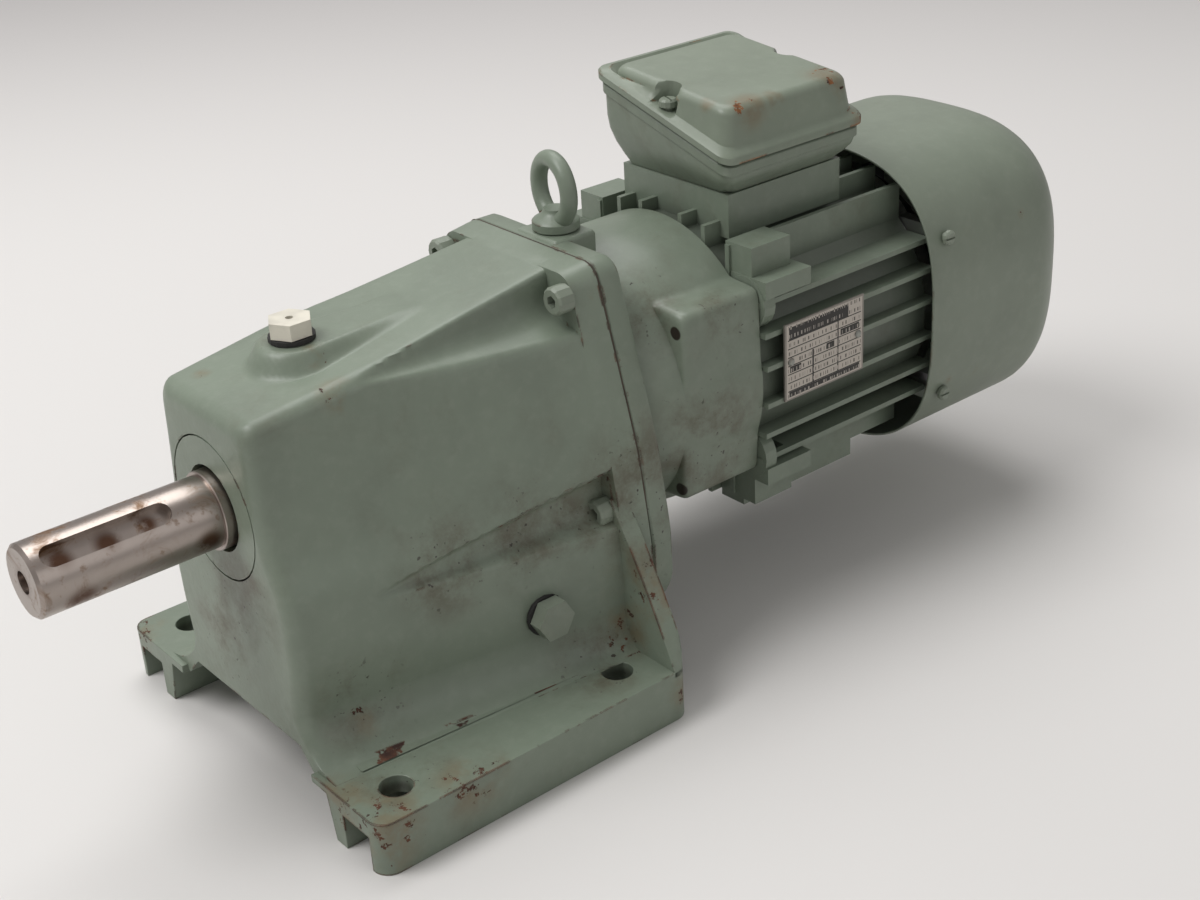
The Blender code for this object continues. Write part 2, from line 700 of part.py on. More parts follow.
def bearing_bores():
    """Cutters for the output shaft's bore, its cover ring, the lay shaft's seat and the oil passages."""
    end = HUB_LENGTH + MM
    cutters = [rod_x("bore_output", -MM, end, 0, SHAFT_HEIGHT, BIG_BEARING_OD / 2 + GAP, ROUND),
               rod_x("bore_cover", -MM, COVER_RING_WIDTH, 0, SHAFT_HEIGHT, COVER_RING_OD / 2 + GAP, ROUND),
               rod_x("bore_lay", LAY_FRONT_START - GAP, end, 0, LAY_HEIGHT, SMALL_BEARING_OD / 2 + GAP, 20)]
    for n, side in enumerate((-1, 1)):
        cutters.append(rod_x(f"oil_passage_{n}", HUB_LENGTH - WEB_THICKNESS - MM, end, side * SMALL_BEARING_OD,
                             LAY_HEIGHT - SMALL_BEARING_OD * 0.75, OIL_PASSAGE_DIAMETER / 2, 12))
    return cutters


def foot_bores():
    front = FACE_X + FOOT_HOLE_SETBACK
    pitch_x, pitch_y = FOOT_HOLE_PITCH
    places = [(front + along, across) for along in (0, pitch_x) for across in (-pitch_y / 2, pitch_y / 2)]
    return [rod(f"foot_hole_{n}", (x, y, -MM), (x, y, FOOT_HEIGHT + MM), FOOT_HOLE_DIAMETER / 2, 20)
            for n, (x, y) in enumerate(places)]


def drain_seat():
    """Distance of the drain plug's flat spot face from the middle plane."""
    return wall_half_width(DRAIN_X - SPOT_FACE_DIAMETER / 2, DRAIN_HEIGHT) + MM


def plug_bores():
    """Cutters for the plugs' threads and for the drain plug's spot face."""
    bx, dx, seat = FACE_X + BOSS_X, FACE_X + DRAIN_X, drain_seat()
    thread = PLUG_THREAD / 2 + GAP
    inside = roof_height(BOSS_X) - 2 * HOUSING_WALL
    outward = (dx, -seat - 3 * HOUSING_WALL, DRAIN_HEIGHT)
    return [rod("breather_bore", (bx, 0, inside), (bx, 0, BOSS_TOP + MM), thread, 16),
            rod("drain_bore", (dx, -seat + 2 * HOUSING_WALL, DRAIN_HEIGHT), outward, thread, 16),
            rod("spot_face", (dx, -seat, DRAIN_HEIGHT), outward, SPOT_FACE_DIAMETER / 2, 24)]


def gear_room():
    """The hollow round the gears, less the walls of the screw pockets."""
    room = loft("gear_room", inner_half, (HUB_LENGTH, HOUSING_LENGTH + 2 * MM))
    return cut(room, *pocket_walls())


def sump():
    """The oil room under the output shaft's hub."""
    floor = ARCH_HEIGHT + HOUSING_FLOOR
    half = wall_half_width(FRONT_WALL, WALL_LEVELS[2]) - HOUSING_WALL
    return box("sump", (FACE_X + FRONT_WALL, FACE_X + HUB_LENGTH - WEB_THICKNESS), (-half, half),
               (floor, floor + SUMP_HEIGHT))


def gear_housing(room):
    fronts = [FRONT_ROUNDING * share for share in (0, 0.12, 0.4, 1)]
    stations = fronts + [HOUSING_LENGTH / 3, 2 * HOUSING_LENGTH / 3, HOUSING_LENGTH]
    housing = loft("gear_housing", rounded_front, stations, GREEN_PAINT)
    join(housing, foot_side(1), foot_side(-1), boss_body())
    cut(housing, *pocket_cutters(), room, sump(), *bearing_bores())
    cut(housing, *screw_bores("housing_bore", POCKET_END - MM, HOUSING_LENGTH + MM), *foot_bores(), *plug_bores())
    return smooth(housing)


def bearing(name, start, z, outer, inner, width, steps=16):
    """A ball bearing with a stepped section: the inner ring's faces lie back from the outer's."""
    outer, inner = outer / 2, inner / 2 + GAP
    middle = (outer + inner) / 2
    step = width * 0.08
    profile = [(width, outer), (0, outer), (0, middle), (step, middle), (step, inner), (width - step, inner),
               (width - step, middle), (width, middle)]
    return smooth(turned(name, profile, (FACE_X + start, 0, z), BEARING_STEEL, closed=True, steps=steps))


def bearings():
    big = (SHAFT_HEIGHT, BIG_BEARING_OD, JOURNAL_DIAMETER, BIG_BEARING_WIDTH, 20)
    small = (LAY_HEIGHT, SMALL_BEARING_OD, LAY_JOURNAL, SMALL_BEARING_WIDTH)
    motor = (MOTOR_HEIGHT, MOTOR_BEARING_OD, MOTOR_BEARING_BORE, MOTOR_BEARING_WIDTH)
    bearing("output_bearing_front", FRONT_BEARING_START, *big)
    bearing("output_bearing_rear", REAR_BEARING_START, *big)
    bearing("lay_bearing_front", LAY_FRONT_START, *small)
    bearing("lay_bearing_rear", LAY_REAR_START, *small)
    bearing("drive_end_bearing", DRIVE_BEARING_START, *motor)
    bearing("fan_end_bearing", FAN_BEARING_START, *motor)


def seals():
    """The cover ring in the front face and the lip seals of the output and motor shafts."""
    ring("front_cover_ring", 0, COVER_RING_WIDTH - GAP, JOURNAL_DIAMETER / 2 + 2 * MM, COVER_RING_OD / 2,
         SHAFT_HEIGHT, GREEN_PAINT)
    start = COVER_RING_WIDTH + GAP
    ring("output_shaft_seal", start, start + OUTPUT_SEAL_WIDTH, JOURNAL_DIAMETER / 2 + GAP, BIG_BEARING_OD / 2,
         SHAFT_HEIGHT, RUBBER, 24)
    ring("input_shaft_seal", FLANGE_START + 2 * MM, FLANGE_END - 2 * MM, NOSE_DIAMETER / 2 + GAP,
         INPUT_SEAL_OD / 2, MOTOR_HEIGHT, RUBBER, 20)


def tooth_outline(teeth, first_tooth):
    """A gear's outline with straight-sided teeth, one of them centred on the angle given."""
    pitch = MODULE * teeth / 2
    slope = math.tan(math.radians(20))
    quarter = MODULE * (math.pi / 4 - TOOTH_SLACK)
    root = (pitch - TOOTH_DEDENDUM * MODULE, quarter + TOOTH_DEDENDUM * MODULE * slope * 0.55)
    tip = (pitch + TOOTH_ADDENDUM * MODULE, quarter - TOOTH_ADDENDUM * MODULE * slope)
    points = []
    for k in range(teeth):
        middle = first_tooth + 2 * math.pi * k / teeth
        for side, (radius, half) in ((-1, root), (-1, tip), (1, tip), (1, root)):
            angle = middle + side * half / radius
            points.append((radius * math.cos(angle), radius * math.sin(angle)))
    return points


def root_radius(teeth):
    return MODULE * (teeth / 2 - TOOTH_DEDENDUM)


def keyed_bore(radius):
    """A bore's outline with a square keyway at its top."""
    half = KEY_SIZE / 2 + GAP
    edge = math.degrees(math.acos(half / radius))
    return arc((0, 0), radius, 180 - edge, 360 + edge, 18) + [(half, radius + half), (-half, radius + half)]


def keyed_gear(name, teeth, first_tooth, seat, start, width, z):
    """A spur gear on a keyed seat, with its key. Returns the cutter for the shaft's keyway."""
    outlines = [tooth_outline(teeth, first_tooth), keyed_bore(seat / 2 + GAP)]
    flat(name, outlines, width, (FACE_X + start + width / 2, 0, z), GEAR_STEEL)
    half, top = KEY_SIZE / 2, seat / 2
    key = box(f"{name}_key", (0, width), (-half, half), (top - half, top + half), STEEL)
    wide = half + GAP
    slot = box(f"{name}_slot", (-GAP, width + GAP), (-wide, wide), (top - wide, top + half))
    for item in (key, slot):
        item.location = (FACE_X + start, 0, z)
    return slot


def keyway_cutter():
    """A round-ended slot along the free end of the shaft, turned up and towards the near side."""
    half = KEYWAY_WIDTH / 2
    reach = KEYWAY_LENGTH / 2 - half
    outline = arc((reach, 0), half, -90, 90, 8) + arc((-reach, 0), half, 90, 270, 8)
    middle = FACE_X - SHAFT_PROJECTION + KEYWAY_SETBACK + KEYWAY_LENGTH / 2
    height = SHAFT_DIAMETER / 2
    lift = SHAFT_DIAMETER / 2 - KEYWAY_DEPTH + height / 2
    centre = (middle, -math.sin(KEYWAY_TURN) * lift, SHAFT_HEIGHT + math.cos(KEYWAY_TURN) * lift)
    return flat("keyway", [outline], height, centre, rotation=(KEYWAY_TURN, 0, 0))


def output_group():
    """The stepped output shaft with the large gear keyed to it."""
    r, journal, seat = SHAFT_DIAMETER / 2, JOURNAL_DIAMETER / 2, GEAR_SEAT_DIAMETER / 2
    tip, hole = -SHAFT_PROJECTION, CENTRE_HOLE / 2
    end = OUTPUT_GEAR_START + OUTPUT_GEAR_WIDTH + 3 * MM
    collar = seat + SHAFT_COLLAR
    collar_start, collar_end = REAR_BEARING_START + BIG_BEARING_WIDTH + GAP, OUTPUT_GEAR_START - GAP
    profile = [(end, 0), (end, seat - MM), (end - MM, seat), (collar_end, seat), (collar_end, collar),
               (collar_start, collar), (collar_start, journal), (-JOURNAL_REACH, journal),
               (-JOURNAL_REACH, r), (tip + SHAFT_CHAMFER, r), (tip, r - SHAFT_CHAMFER), (tip, hole),
               (tip + hole, 0)]
    shaft = turned("output_shaft", profile, (FACE_X, 0, SHAFT_HEIGHT), STEEL)
    slot = keyed_gear("output_gear", OUTPUT_GEAR_TEETH, -math.pi / 2, GEAR_SEAT_DIAMETER, OUTPUT_GEAR_START,
                      OUTPUT_GEAR_WIDTH, SHAFT_HEIGHT)
    return smooth(cut(shaft, keyway_cutter(), slot))


def lay_group():
    """The intermediate shaft with its own pinion teeth and the larger gear of the first pair."""
    journal, seat = LAY_JOURNAL / 2, LAY_SEAT / 2
    start, end = LAY_FRONT_START + MM, LAY_REAR_START + SMALL_BEARING_WIDTH - MM
    collar = seat + LAY_COLLAR
    teeth_start = OUTPUT_GEAR_START - PINION_OVERHANG
    teeth_end = OUTPUT_GEAR_START + OUTPUT_GEAR_WIDTH + PINION_OVERHANG
    core = root_radius(LAY_PINION_TEETH) - GAP
    front, rear, shoulder = HUB_LENGTH + MM, LAY_REAR_START - MM, INPUT_GEAR_START - GAP
    profile = [(end, 0), (end, journal), (rear, journal), (rear, seat), (shoulder, seat), (shoulder, collar),
               (teeth_end + GAP, collar), (teeth_end + GAP, core), (front, core), (front, journal),
               (start, journal), (start, 0)]
    shaft = turned("lay_shaft", profile, (FACE_X, 0, LAY_HEIGHT), GEAR_STEEL, steps=20)
    length = teeth_end - teeth_start + 2 * MM
    gap_above = math.pi / 2 + math.pi / LAY_PINION_TEETH
    teeth = flat("lay_teeth", [tooth_outline(LAY_PINION_TEETH, gap_above)], length,
                 (FACE_X + teeth_start + length / 2, 0, LAY_HEIGHT))
    slot = keyed_gear("input_gear", INPUT_GEAR_TEETH, math.pi / 2 + math.pi / INPUT_GEAR_TEETH, LAY_SEAT,
                      INPUT_GEAR_START, INPUT_GEAR_WIDTH, LAY_HEIGHT)
    return smooth(cut(join(shaft, teeth), slot))


def flange_outline():
    """The joint face's outline, with rounded lower corners in place of the flare."""
    points = roof_half(HOUSING_LENGTH)[1:-1]
    wide = wall_half_width(HOUSING_LENGTH, WALL_LEVELS[2])
    points += arc((wide - FLANGE_CORNER, ARCH_HEIGHT + FLANGE_CORNER), FLANGE_CORNER, 0, -90, 5)
    return points + [(-y, z) for y, z in reversed(points)]


def joint_pieces(room):
    """The gasket, with the same openings as the housing's face, and the rear flange."""
    middle = HOUSING_LENGTH + GAP / 2 + GASKET_THICKNESS / 2
    gasket = flat("housing_gasket", [flange_outline()], GASKET_THICKNESS, (FACE_X + middle, 0, 0), GASKET)
    cut(gasket, room, *screw_bores("gasket_bore", HOUSING_LENGTH - MM, FLANGE_START + MM))
    centre = (FACE_X + FLANGE_START + FLANGE_THICKNESS / 2, 0, 0)
    flange = flat("rear_flange", [flange_outline()], FLANGE_THICKNESS, centre, GREEN_PAINT)
    join(flange, box("eye_pad", (FACE_X + FLANGE_START + 2 * MM, FACE_X + FLANGE_END + EYE_PAD_REACH),
                     (-EYE_PAD_HALF, EYE_PAD_HALF), (EYE_PAD_TOP - EYE_PAD_DEPTH, EYE_PAD_TOP)))
    depth = SMALL_BEARING_WIDTH + 4 * GAP
    cut(flange, rod_x("flange_seal_bore", FLANGE_START - MM, FLANGE_END + MM, 0, MOTOR_HEIGHT,
                      INPUT_SEAL_OD / 2 + GAP, 20),
        rod_x("flange_lay_seat", FLANGE_START - MM, FLANGE_START + depth, 0, LAY_HEIGHT,
              SMALL_BEARING_OD / 2 + GAP, 20),
        rod("eye_thread", (FACE_X + EYE_X, 0, EYE_PAD_TOP - EYE_THREAD_LENGTH - MM),
            (FACE_X + EYE_X, 0, EYE_PAD_TOP + MM), SCREW_DIAMETER / 2 + GAP))
    cut(flange, *screw_bores("flange_bore", FLANGE_START - MM, FLANGE_END - 2 * MM))
    return smooth(flange)


def housing_screws():
    """Four socket head screws, their heads on the lands at the ends of the pockets."""
    head, shank = SCREW_HEAD_DIAMETER / 2, SCREW_DIAMETER / 2
    top = -GAP - SCREW_DIAMETER
    end = FLANGE_END - 3 * MM - POCKET_END
    profile = [(end, 0), (end, shank), (-GAP, shank), (-GAP, head), (top + MM, head), (top, head - MM), (top, 0)]
    for number, (y, z) in enumerate(screw_places(), 1):
        screw = turned(f"housing_screw_{number}", profile, (FACE_X + POCKET_END, y, z), ZINC, steps=12)
        start = POCKET_END + top
        cut(screw, rod_x(f"socket_{number}", start - MM, start + SCREW_DIAMETER / 2, y, z, SCREW_SOCKET / 2, 6))
        smooth(screw)


def eye_ring():
    """A round bar bent into a ring, as a closed mesh about the local X axis."""
    form = bmesh.new()
    steps, sides = 20, 8
    section = arc((0, EYE_RING_DIAMETER / 2), EYE_RING_BAR / 2, 0, 360, sides)[:-1]
    loops = []
    for k in range(steps):
        turn = Matrix.Rotation(2 * math.pi * k / steps, 3, "X")
        loops.append([form.verts.new(turn @ Vector((x, 0, r))) for x, r in section])
    for one, two in zip(loops, loops[1:] + loops[:1]):
        bridge(form, one, two)
    return from_bmesh("eye_ring", form, None)


def eye_bolt():
    """A forged ring on a round collar with a short thread beneath."""
    top = EYE_PAD_TOP + GAP
    radius, thread = EYE_COLLAR_DIAMETER / 2, SCREW_DIAMETER / 2
    neck, neck_top = EYE_RING_BAR * 0.8, EYE_COLLAR_HEIGHT + 2 * MM
    profile = [(neck_top, 0), (neck_top, neck), (EYE_COLLAR_HEIGHT / 2, radius), (0, radius), (0, thread),
               (-EYE_THREAD_LENGTH, thread), (-EYE_THREAD_LENGTH, 0)]
    bolt = turned("eye_bolt", profile, (FACE_X + EYE_X, 0, top), GREEN_PAINT, steps=20, rotation=(0, 0, 0))
    bar = eye_ring()
    bar.location = (FACE_X + EYE_X, 0, top + EYE_COLLAR_HEIGHT * 0.7 + EYE_RING_DIAMETER / 2)
    bar.rotation_euler = (0, 0, EYE_TURN)
    return smooth(join(bolt, bar))


def plug(name, seat, direction, shade):
    """A hexagon plug with its head on a washer and its thread in the housing."""
    seat, out = Vector(seat), Vector(direction)
    lift = WASHER_THICKNESS + 2 * GAP
    head = flat(name, [hexagon(PLUG_HEX)], PLUG_HEAD, seat + out * (lift + PLUG_HEAD / 2), shade, facing(direction))
    join(head, rod(f"{name}_thread", seat - out * PLUG_REACH, seat + out * (lift + MM), PLUG_THREAD / 2, 12))
    inner, outer, end = PLUG_THREAD / 2 + GAP, WASHER_DIAMETER / 2, GAP + WASHER_THICKNESS
    profile = [(end, outer), (GAP, outer), (GAP, inner), (end, inner)]
    smooth(turned(f"{name}_washer", profile, seat, RUBBER, closed=True, steps=16, rotation=facing(direction)))
    return head


def plugs():
    """The breather, with a vent right through it, and the drain plug on the near side."""
    bx = FACE_X + BOSS_X
    breather = plug("breather_plug", (bx, 0, BOSS_TOP), (0, 0, 1), WHITE_PLASTIC)
    cut(breather, rod("vent", (bx, 0, BOSS_TOP - 2 * PLUG_REACH), (bx, 0, BOSS_TOP + 2 * PLUG_HEAD),
                      VENT_DIAMETER / 2, 10))
    plug("drain_plug", (FACE_X + DRAIN_X, -drain_seat(), DRAIN_HEIGHT), (0, -1, 0), GREEN_PAINT)


def lug_places():
    """Across and height of the four motor screws: upper near, upper far, lower near, lower far."""
    across, up = LUG_PLACE
    return spread(across, MOTOR_HEIGHT + up) + spread(across, MOTOR_HEIGHT - up)


def motor_adapter():
    """A bell between the rear flange and the motor, with a lug for each motor screw."""
    length, rim, neck = ADAPTER_LENGTH, ADAPTER_RADIUS, ADAPTER_NECK_RADIUS
    seat, lip = MOTOR_BEARING_OD / 2 + GAP, MOTOR_BEARING_BORE / 2 + 3 * MM
    web_start, web_end = length - MOTOR_BEARING_WIDTH - 4 * MM, length - MOTOR_BEARING_WIDTH - 3 * GAP
    shoulder = length - ADAPTER_RIM
    profile = [(length, rim), (shoulder, rim)]
    for k in (1, 2, 3):
        profile.append((shoulder * (1 - k / 3), neck + (rim - neck) * math.cos(math.radians(30 * k))))
    profile += [(0, neck - ADAPTER_WALL), (web_start, neck - ADAPTER_WALL), (web_start, lip), (web_end, lip),
                (web_end, seat), (length, seat)]
    adapter = turned("motor_adapter", profile, (FACE_X + ADAPTER_START, 0, MOTOR_HEIGHT), GREEN_PAINT, closed=True)
    lug_start, lug_end = ADAPTER_END - LUG_LENGTH, ADAPTER_END - SINK
    for n, (y, z) in enumerate(lug_places()):
        join(adapter, rod_x(f"lug_{n}", lug_start, lug_end, y, z, LUG_RADIUS, 20))
    reach = EYE_PAD_HALF + GAP
    cut(adapter, box("pad_room", (FACE_X + FLANGE_START, FACE_X + FLANGE_END + EYE_PAD_REACH + GAP),
                     (-reach, reach), (EYE_PAD_TOP - EYE_PAD_DEPTH - GAP, EYE_PAD_TOP + MM)))
    for n, (y, z) in enumerate(lug_places()):
        cut(adapter, rod_x(f"lug_bore_{n}", ADAPTER_END - LUG_SCREW_LENGTH, ADAPTER_END + MM, y, z,
                           LUG_SCREW_DIAMETER / 2 + GAP, 10),
            rod_x(f"lug_dimple_{n}", lug_start - MM, lug_start + 2 * MM, y, z, LUG_DIMPLE / 2, 10))
    return smooth(adapter)


def ear_seat():
    """Where the heads of the motor's screws rest on the frame's ears."""
    return FRAME_START + SINK + EAR_THICKNESS


def adapter_screws():
    """Hexagon screws from the motor side, through the frame's ears into the adapter's lugs."""
    seat = ear_seat() + GAP
    for n, (y, z) in enumerate(lug_places(), 1):
        middle = (FACE_X + seat + LUG_SCREW_HEAD / 2, y, z)
        head = flat(f"adapter_screw_{n}", [hexagon(LUG_SCREW_HEX)], LUG_SCREW_HEAD, middle, ZINC)
        join(head, rod_x(f"adapter_shank_{n}", ADAPTER_END - LUG_SCREW_LENGTH + MM, seat + MM, y, z,
                         LUG_SCREW_DIAMETER / 2, 10))


def frame_outline():
    """The frame's outline: level fins at the sides and upright ones above and below."""
    root = FRAME_BORE / 2 + FRAME_WALL
    half = FIN_THICKNESS / 2
    points = []
    for quarter, fins in enumerate((SIDE_FINS, TOP_FINS, SIDE_FINS, TOP_FINS)):
        c, s = round(math.cos(quarter * math.pi / 2)), round(math.sin(quarter * math.pi / 2))
        for across in fins:
            reach = rounded(FIN_REACH, across)
            low, high = across - half, across + half
            fin = [(math.sqrt(root ** 2 - low ** 2), low), (reach, low), (reach, high),
                   (math.sqrt(root ** 2 - high ** 2), high)]
            points += [(u * c - v * s, u * s + v * c) for u, v in fin]
    return points


def frame_blocks():
    """Cast blocks at the frame's front corners, the terminal box's pad and two blank foot pads."""
    z = MOTOR_HEIGHT
    start = FACE_X + FRAME_START
    pad_start = start + 6 * MM
    blocks = []
    for side in (1, -1):
        for rise in (1, -1):
            for n, (across, above) in enumerate(CORNER_BLOCKS):
                xs = (start + (2 + n) * SINK, start + BLOCK_LENGTH - n * 4 * MM)
                blocks.append(box(f"block_{n}_{side}_{rise}", xs, [side * y for y in across],
                                  [z + rise * height for height in above]))
        blocks.append(box(f"foot_pad_{side}", (pad_start, pad_start + FRAME_PAD_LENGTH),
                          [side * y for y in FRAME_PAD_EDGES],
                          (z - FIN_REACH - MM, z - FRAME_BORE / 2 + 8 * MM)))
    half = BOX_PAD_LENGTH / 2
    middle = FACE_X + BOX_X
    blocks.append(box("box_pad", (middle - half, middle + half), (-BOX_PAD_HALF, BOX_PAD_HALF),
                      (z + FRAME_BORE / 2 + FRAME_WALL / 2, BOX_BOTTOM)))
    return blocks


def motor_frame():
    """The finned stator housing with its ears, blocks and pads."""
    z = MOTOR_HEIGHT
    start, seat = FRAME_START, ear_seat()
    middle = (FACE_X + start + FRAME_LENGTH / 2, 0, z)
    frame = flat("motor_frame", [frame_outline()], FRAME_LENGTH, middle, GREEN_PAINT)
    ears = [rod_x(f"ear_{n}", start + SINK, seat + MM, y, ear_z, LUG_RADIUS, 20)
            for n, (y, ear_z) in enumerate(lug_places())]
    join(frame, *frame_blocks(), *ears)
    cut(frame, rod_x("frame_bore", start - MM, FRAME_END + MM, 0, z, FRAME_BORE / 2, 36))
    for n, (y, ear_z) in enumerate(lug_places()):
        cut(frame, rod_x(f"ear_room_{n}", seat, seat + 12 * MM, y, ear_z, LUG_SCREW_HEX * 0.66, 12),
            rod_x(f"ear_bore_{n}", start - MM, seat + MM, y, ear_z, LUG_SCREW_DIAMETER / 2 + GAP, 10))
    x = FACE_X + BOX_X
    cut(frame, rod("wire_way", (x, 0, z), (x, 0, BOX_BOTTOM + MM), WIRE_WAY_DIAMETER / 2))
    # The exact solver drops faces of the long thin fins
    for step in frame.modifiers:
        step.solver = "MANIFOLD"
    return smooth(frame)


def stator():
    """The laminated stack and its two end windings."""
    z = MOTOR_HEIGHT
    ring("stator_core", CORE_START, CORE_END, CORE_BORE / 2, FRAME_BORE / 2 - GAP, z, LAMINATION, 28)
    inner, outer = WINDING_RADII
    soft = 3 * MM
    for name, start in (("front", CORE_START - GAP - WINDING_LENGTH), ("rear", CORE_END + GAP)):
        end = start + WINDING_LENGTH
        profile = [(end, outer - soft), (end - soft, outer), (start + soft, outer), (start, outer - soft),
                   (start, inner), (end, inner)]
        smooth(turned(f"stator_winding_{name}", profile, (FACE_X, 0, z), COPPER, closed=True, steps=20))


def rotor_group():
    """The motor shaft with the rotor's stack, the plug-in pinion and the fan."""
    z = MOTOR_HEIGHT
    seat, body, nose = MOTOR_BEARING_BORE / 2, ROTOR_DIAMETER / 2, NOSE_DIAMETER / 2
    hole = SHANK_DIAMETER / 2 + GAP
    bottom = NOSE_START + SHANK_LENGTH
    drive_step = DRIVE_BEARING_START + MOTOR_BEARING_WIDTH + GAP
    end = FAN_START + FAN_WIDTH
    profile = [(end, 0), (end, nose), (FAN_START - MM, nose), (FAN_START - MM, seat), (SHIELD_START, seat),
               (SHIELD_START, body), (drive_step, body), (drive_step, seat), (FLANGE_END, seat),
               (FLANGE_END, nose), (NOSE_START, nose), (NOSE_START, hole), (bottom, hole), (bottom, 0)]
    smooth(turned("rotor_shaft", profile, (FACE_X, 0, z), STEEL, steps=16))
    outer = CORE_BORE / 2 - AIR_GAP
    lip = CORE_START - 5 * MM
    profile = [(CORE_END, outer), (CORE_START, outer), (CORE_START, outer - 4 * MM), (lip, outer - 4 * MM),
               (lip, outer - 12 * MM), (CORE_START, outer - 12 * MM), (CORE_START, body + GAP),
               (CORE_END, body + GAP)]
    smooth(turned("rotor_core", profile, (FACE_X, 0, z), LAMINATION, closed=True, steps=20))
    motor_pinion(z)
    cooling_fan(z, nose + GAP)


def motor_pinion(z):
    """A small pinion whose shank plugs into the motor shaft's hollow end."""
    start = INPUT_GEAR_START - PINION_OVERHANG
    middle = (FACE_X + (start + PINION_END) / 2, 0, z)
    outline = tooth_outline(MOTOR_PINION_TEETH, -math.pi / 2)
    pinion = flat("motor_pinion", [outline], PINION_END - start, middle, GEAR_STEEL)
    end = NOSE_START + SHANK_LENGTH - MM
    return join(pinion, rod_x("pinion_shank", PINION_END - MM, end, 0, z, SHANK_DIAMETER / 2))


def cooling_fan(z, bore):
    """Straight radial blades on a disc and hub, so that the fan works both ways round."""
    disc = 3 * MM
    profile = [(FAN_WIDTH, FAN_HUB_RADIUS), (disc, FAN_HUB_RADIUS), (disc, FAN_RADIUS), (0, FAN_RADIUS),
               (0, bore), (FAN_WIDTH, bore)]
    fan = turned("cooling_fan", profile, (FACE_X + FAN_START, 0, z), BLACK_PLASTIC, closed=True, steps=28)
    half = FAN_BLADE_THICKNESS / 2
    for k in range(FAN_BLADES):
        blade = box(f"blade_{k}", (MM, FAN_WIDTH - 3 * MM), (-half, half), (FAN_HUB_RADIUS - 2 * MM, FAN_RADIUS - MM))
        blade.location = (FACE_X + FAN_START, 0, z)
        blade.rotation_euler = (2 * math.pi * k / FAN_BLADES, 0, 0)
        join(fan, blade)
    return smooth(fan)


def cowl_screw_places():
    """Side and height of each cowl screw."""
    return spread(1, MOTOR_HEIGHT + COWL_SCREW_RISE) + spread(1, MOTOR_HEIGHT - COWL_SCREW_RISE)


def end_shield():
    """The rear bearing shield, with a hub for the bearing and lugs that carry the cowl."""
    seat, lip = MOTOR_BEARING_OD / 2 + GAP, MOTOR_BEARING_BORE / 2 + MM
    deep = MOTOR_BEARING_WIDTH + 3 * GAP
    back, hub = deep + 3 * MM, seat + 5 * MM
    profile = [(back, hub), (SHIELD_THICKNESS, hub), (SHIELD_THICKNESS, SHIELD_RADIUS), (0, SHIELD_RADIUS),
               (0, seat), (deep, seat), (deep, lip), (back, lip)]
    shield = turned("end_shield", profile, (FACE_X + SHIELD_START, 0, MOTOR_HEIGHT), CAST_ALUMINIUM, closed=True,
                    steps=28)
    reach = rounded(COWL_HALF_WIDTH, COWL_SCREW_RISE + COWL_LUG_HALF) - COWL_THICKNESS - 2 * MM
    x = FACE_X + COWL_SCREW_X
    bore = COWL_SCREW_DIAMETER / 2 + GAP
    for n, (side, middle) in enumerate(cowl_screw_places()):
        join(shield, box(f"cowl_lug_{n}", (FACE_X + SHIELD_START + SINK, FACE_X + SHIELD_END - SINK),
                         (side * reach * 0.6, side * reach), (middle - COWL_LUG_HALF, middle + COWL_LUG_HALF)))
        cut(shield, rod(f"cowl_lug_bore_{n}", (x, side * (reach - 11 * MM), middle),
                        (x, side * (reach + MM), middle), bore, 10))
    return smooth(shield)


def cowl_ring(form, offset, half):
    """A loop of vertices round a rounded square, at a distance behind the cowl's open end."""
    power = 2 / ROUNDNESS
    loop = []
    for c, s in arc((0, 0), 1, 0, 360, ROUND)[:-1]:
        y, z = half * math.copysign(abs(c) ** power, c), half * math.copysign(abs(s) ** power, s)
        loop.append(form.verts.new((FACE_X + COWL_START + offset, y, MOTOR_HEIGHT + z)))
    return loop


def cowl_skin(form, inset):
    """One skin of the cowl, from its open end round the rear edge to the flat back."""
    half, fillet, end = COWL_HALF_WIDTH - inset, COWL_FILLET - inset, COWL_LENGTH - inset
    loops = [cowl_ring(form, 0, half)]
    for x, y in reversed(arc((end - fillet, half - fillet), fillet, 0, 90, 4)):
        loops.append(cowl_ring(form, x, y))
    for one, two in zip(loops, loops[1:]):
        bridge(form, one, two)
    form.faces.new(loops[-1])
    return loops[0]


def fan_cowl():
    """A pressed hood, open at the front, with slots for the air in its back."""
    form = bmesh.new()
    bridge(form, cowl_skin(form, 0), cowl_skin(form, COWL_THICKNESS))
    cowl = from_bmesh("fan_cowl", form, GREEN_PAINT)
    for number, radius in enumerate(GRILLE_RADII):
        cut(cowl, *grille_slots(number, radius))
    x = FACE_X + COWL_SCREW_X
    for n, (side, z) in enumerate(cowl_screw_places()):
        cut(cowl, rod(f"cowl_hole_{n}", (x, side * COWL_HALF_WIDTH / 2, z), (x, side * COWL_HALF_WIDTH * 1.1, z),
                      COWL_SCREW_DIAMETER / 2 + GAP, 10))
    return smooth(cowl)


def grille_slots(number, radius):
    """The arc-shaped slots of one ring of the grille, with spokes left between them."""
    turn = 360 / GRILLE_SPOKES
    spoke = math.degrees(GRILLE_SPOKE_WIDTH / radius)
    centre = (FACE_X + COWL_END - COWL_THICKNESS / 2, 0, MOTOR_HEIGHT)
    slots = []
    for k in range(GRILLE_SPOKES):
        start, end = turn * k + spoke / 2, turn * (k + 1) - spoke / 2
        outline = arc((0, 0), radius + GRILLE_SLOT / 2, start, end, 4)
        outline += arc((0, 0), radius - GRILLE_SLOT / 2, end, start, 4)
        slots.append(flat(f"grille_{number}_{k}", [outline], 4 * COWL_THICKNESS, centre))
    return slots


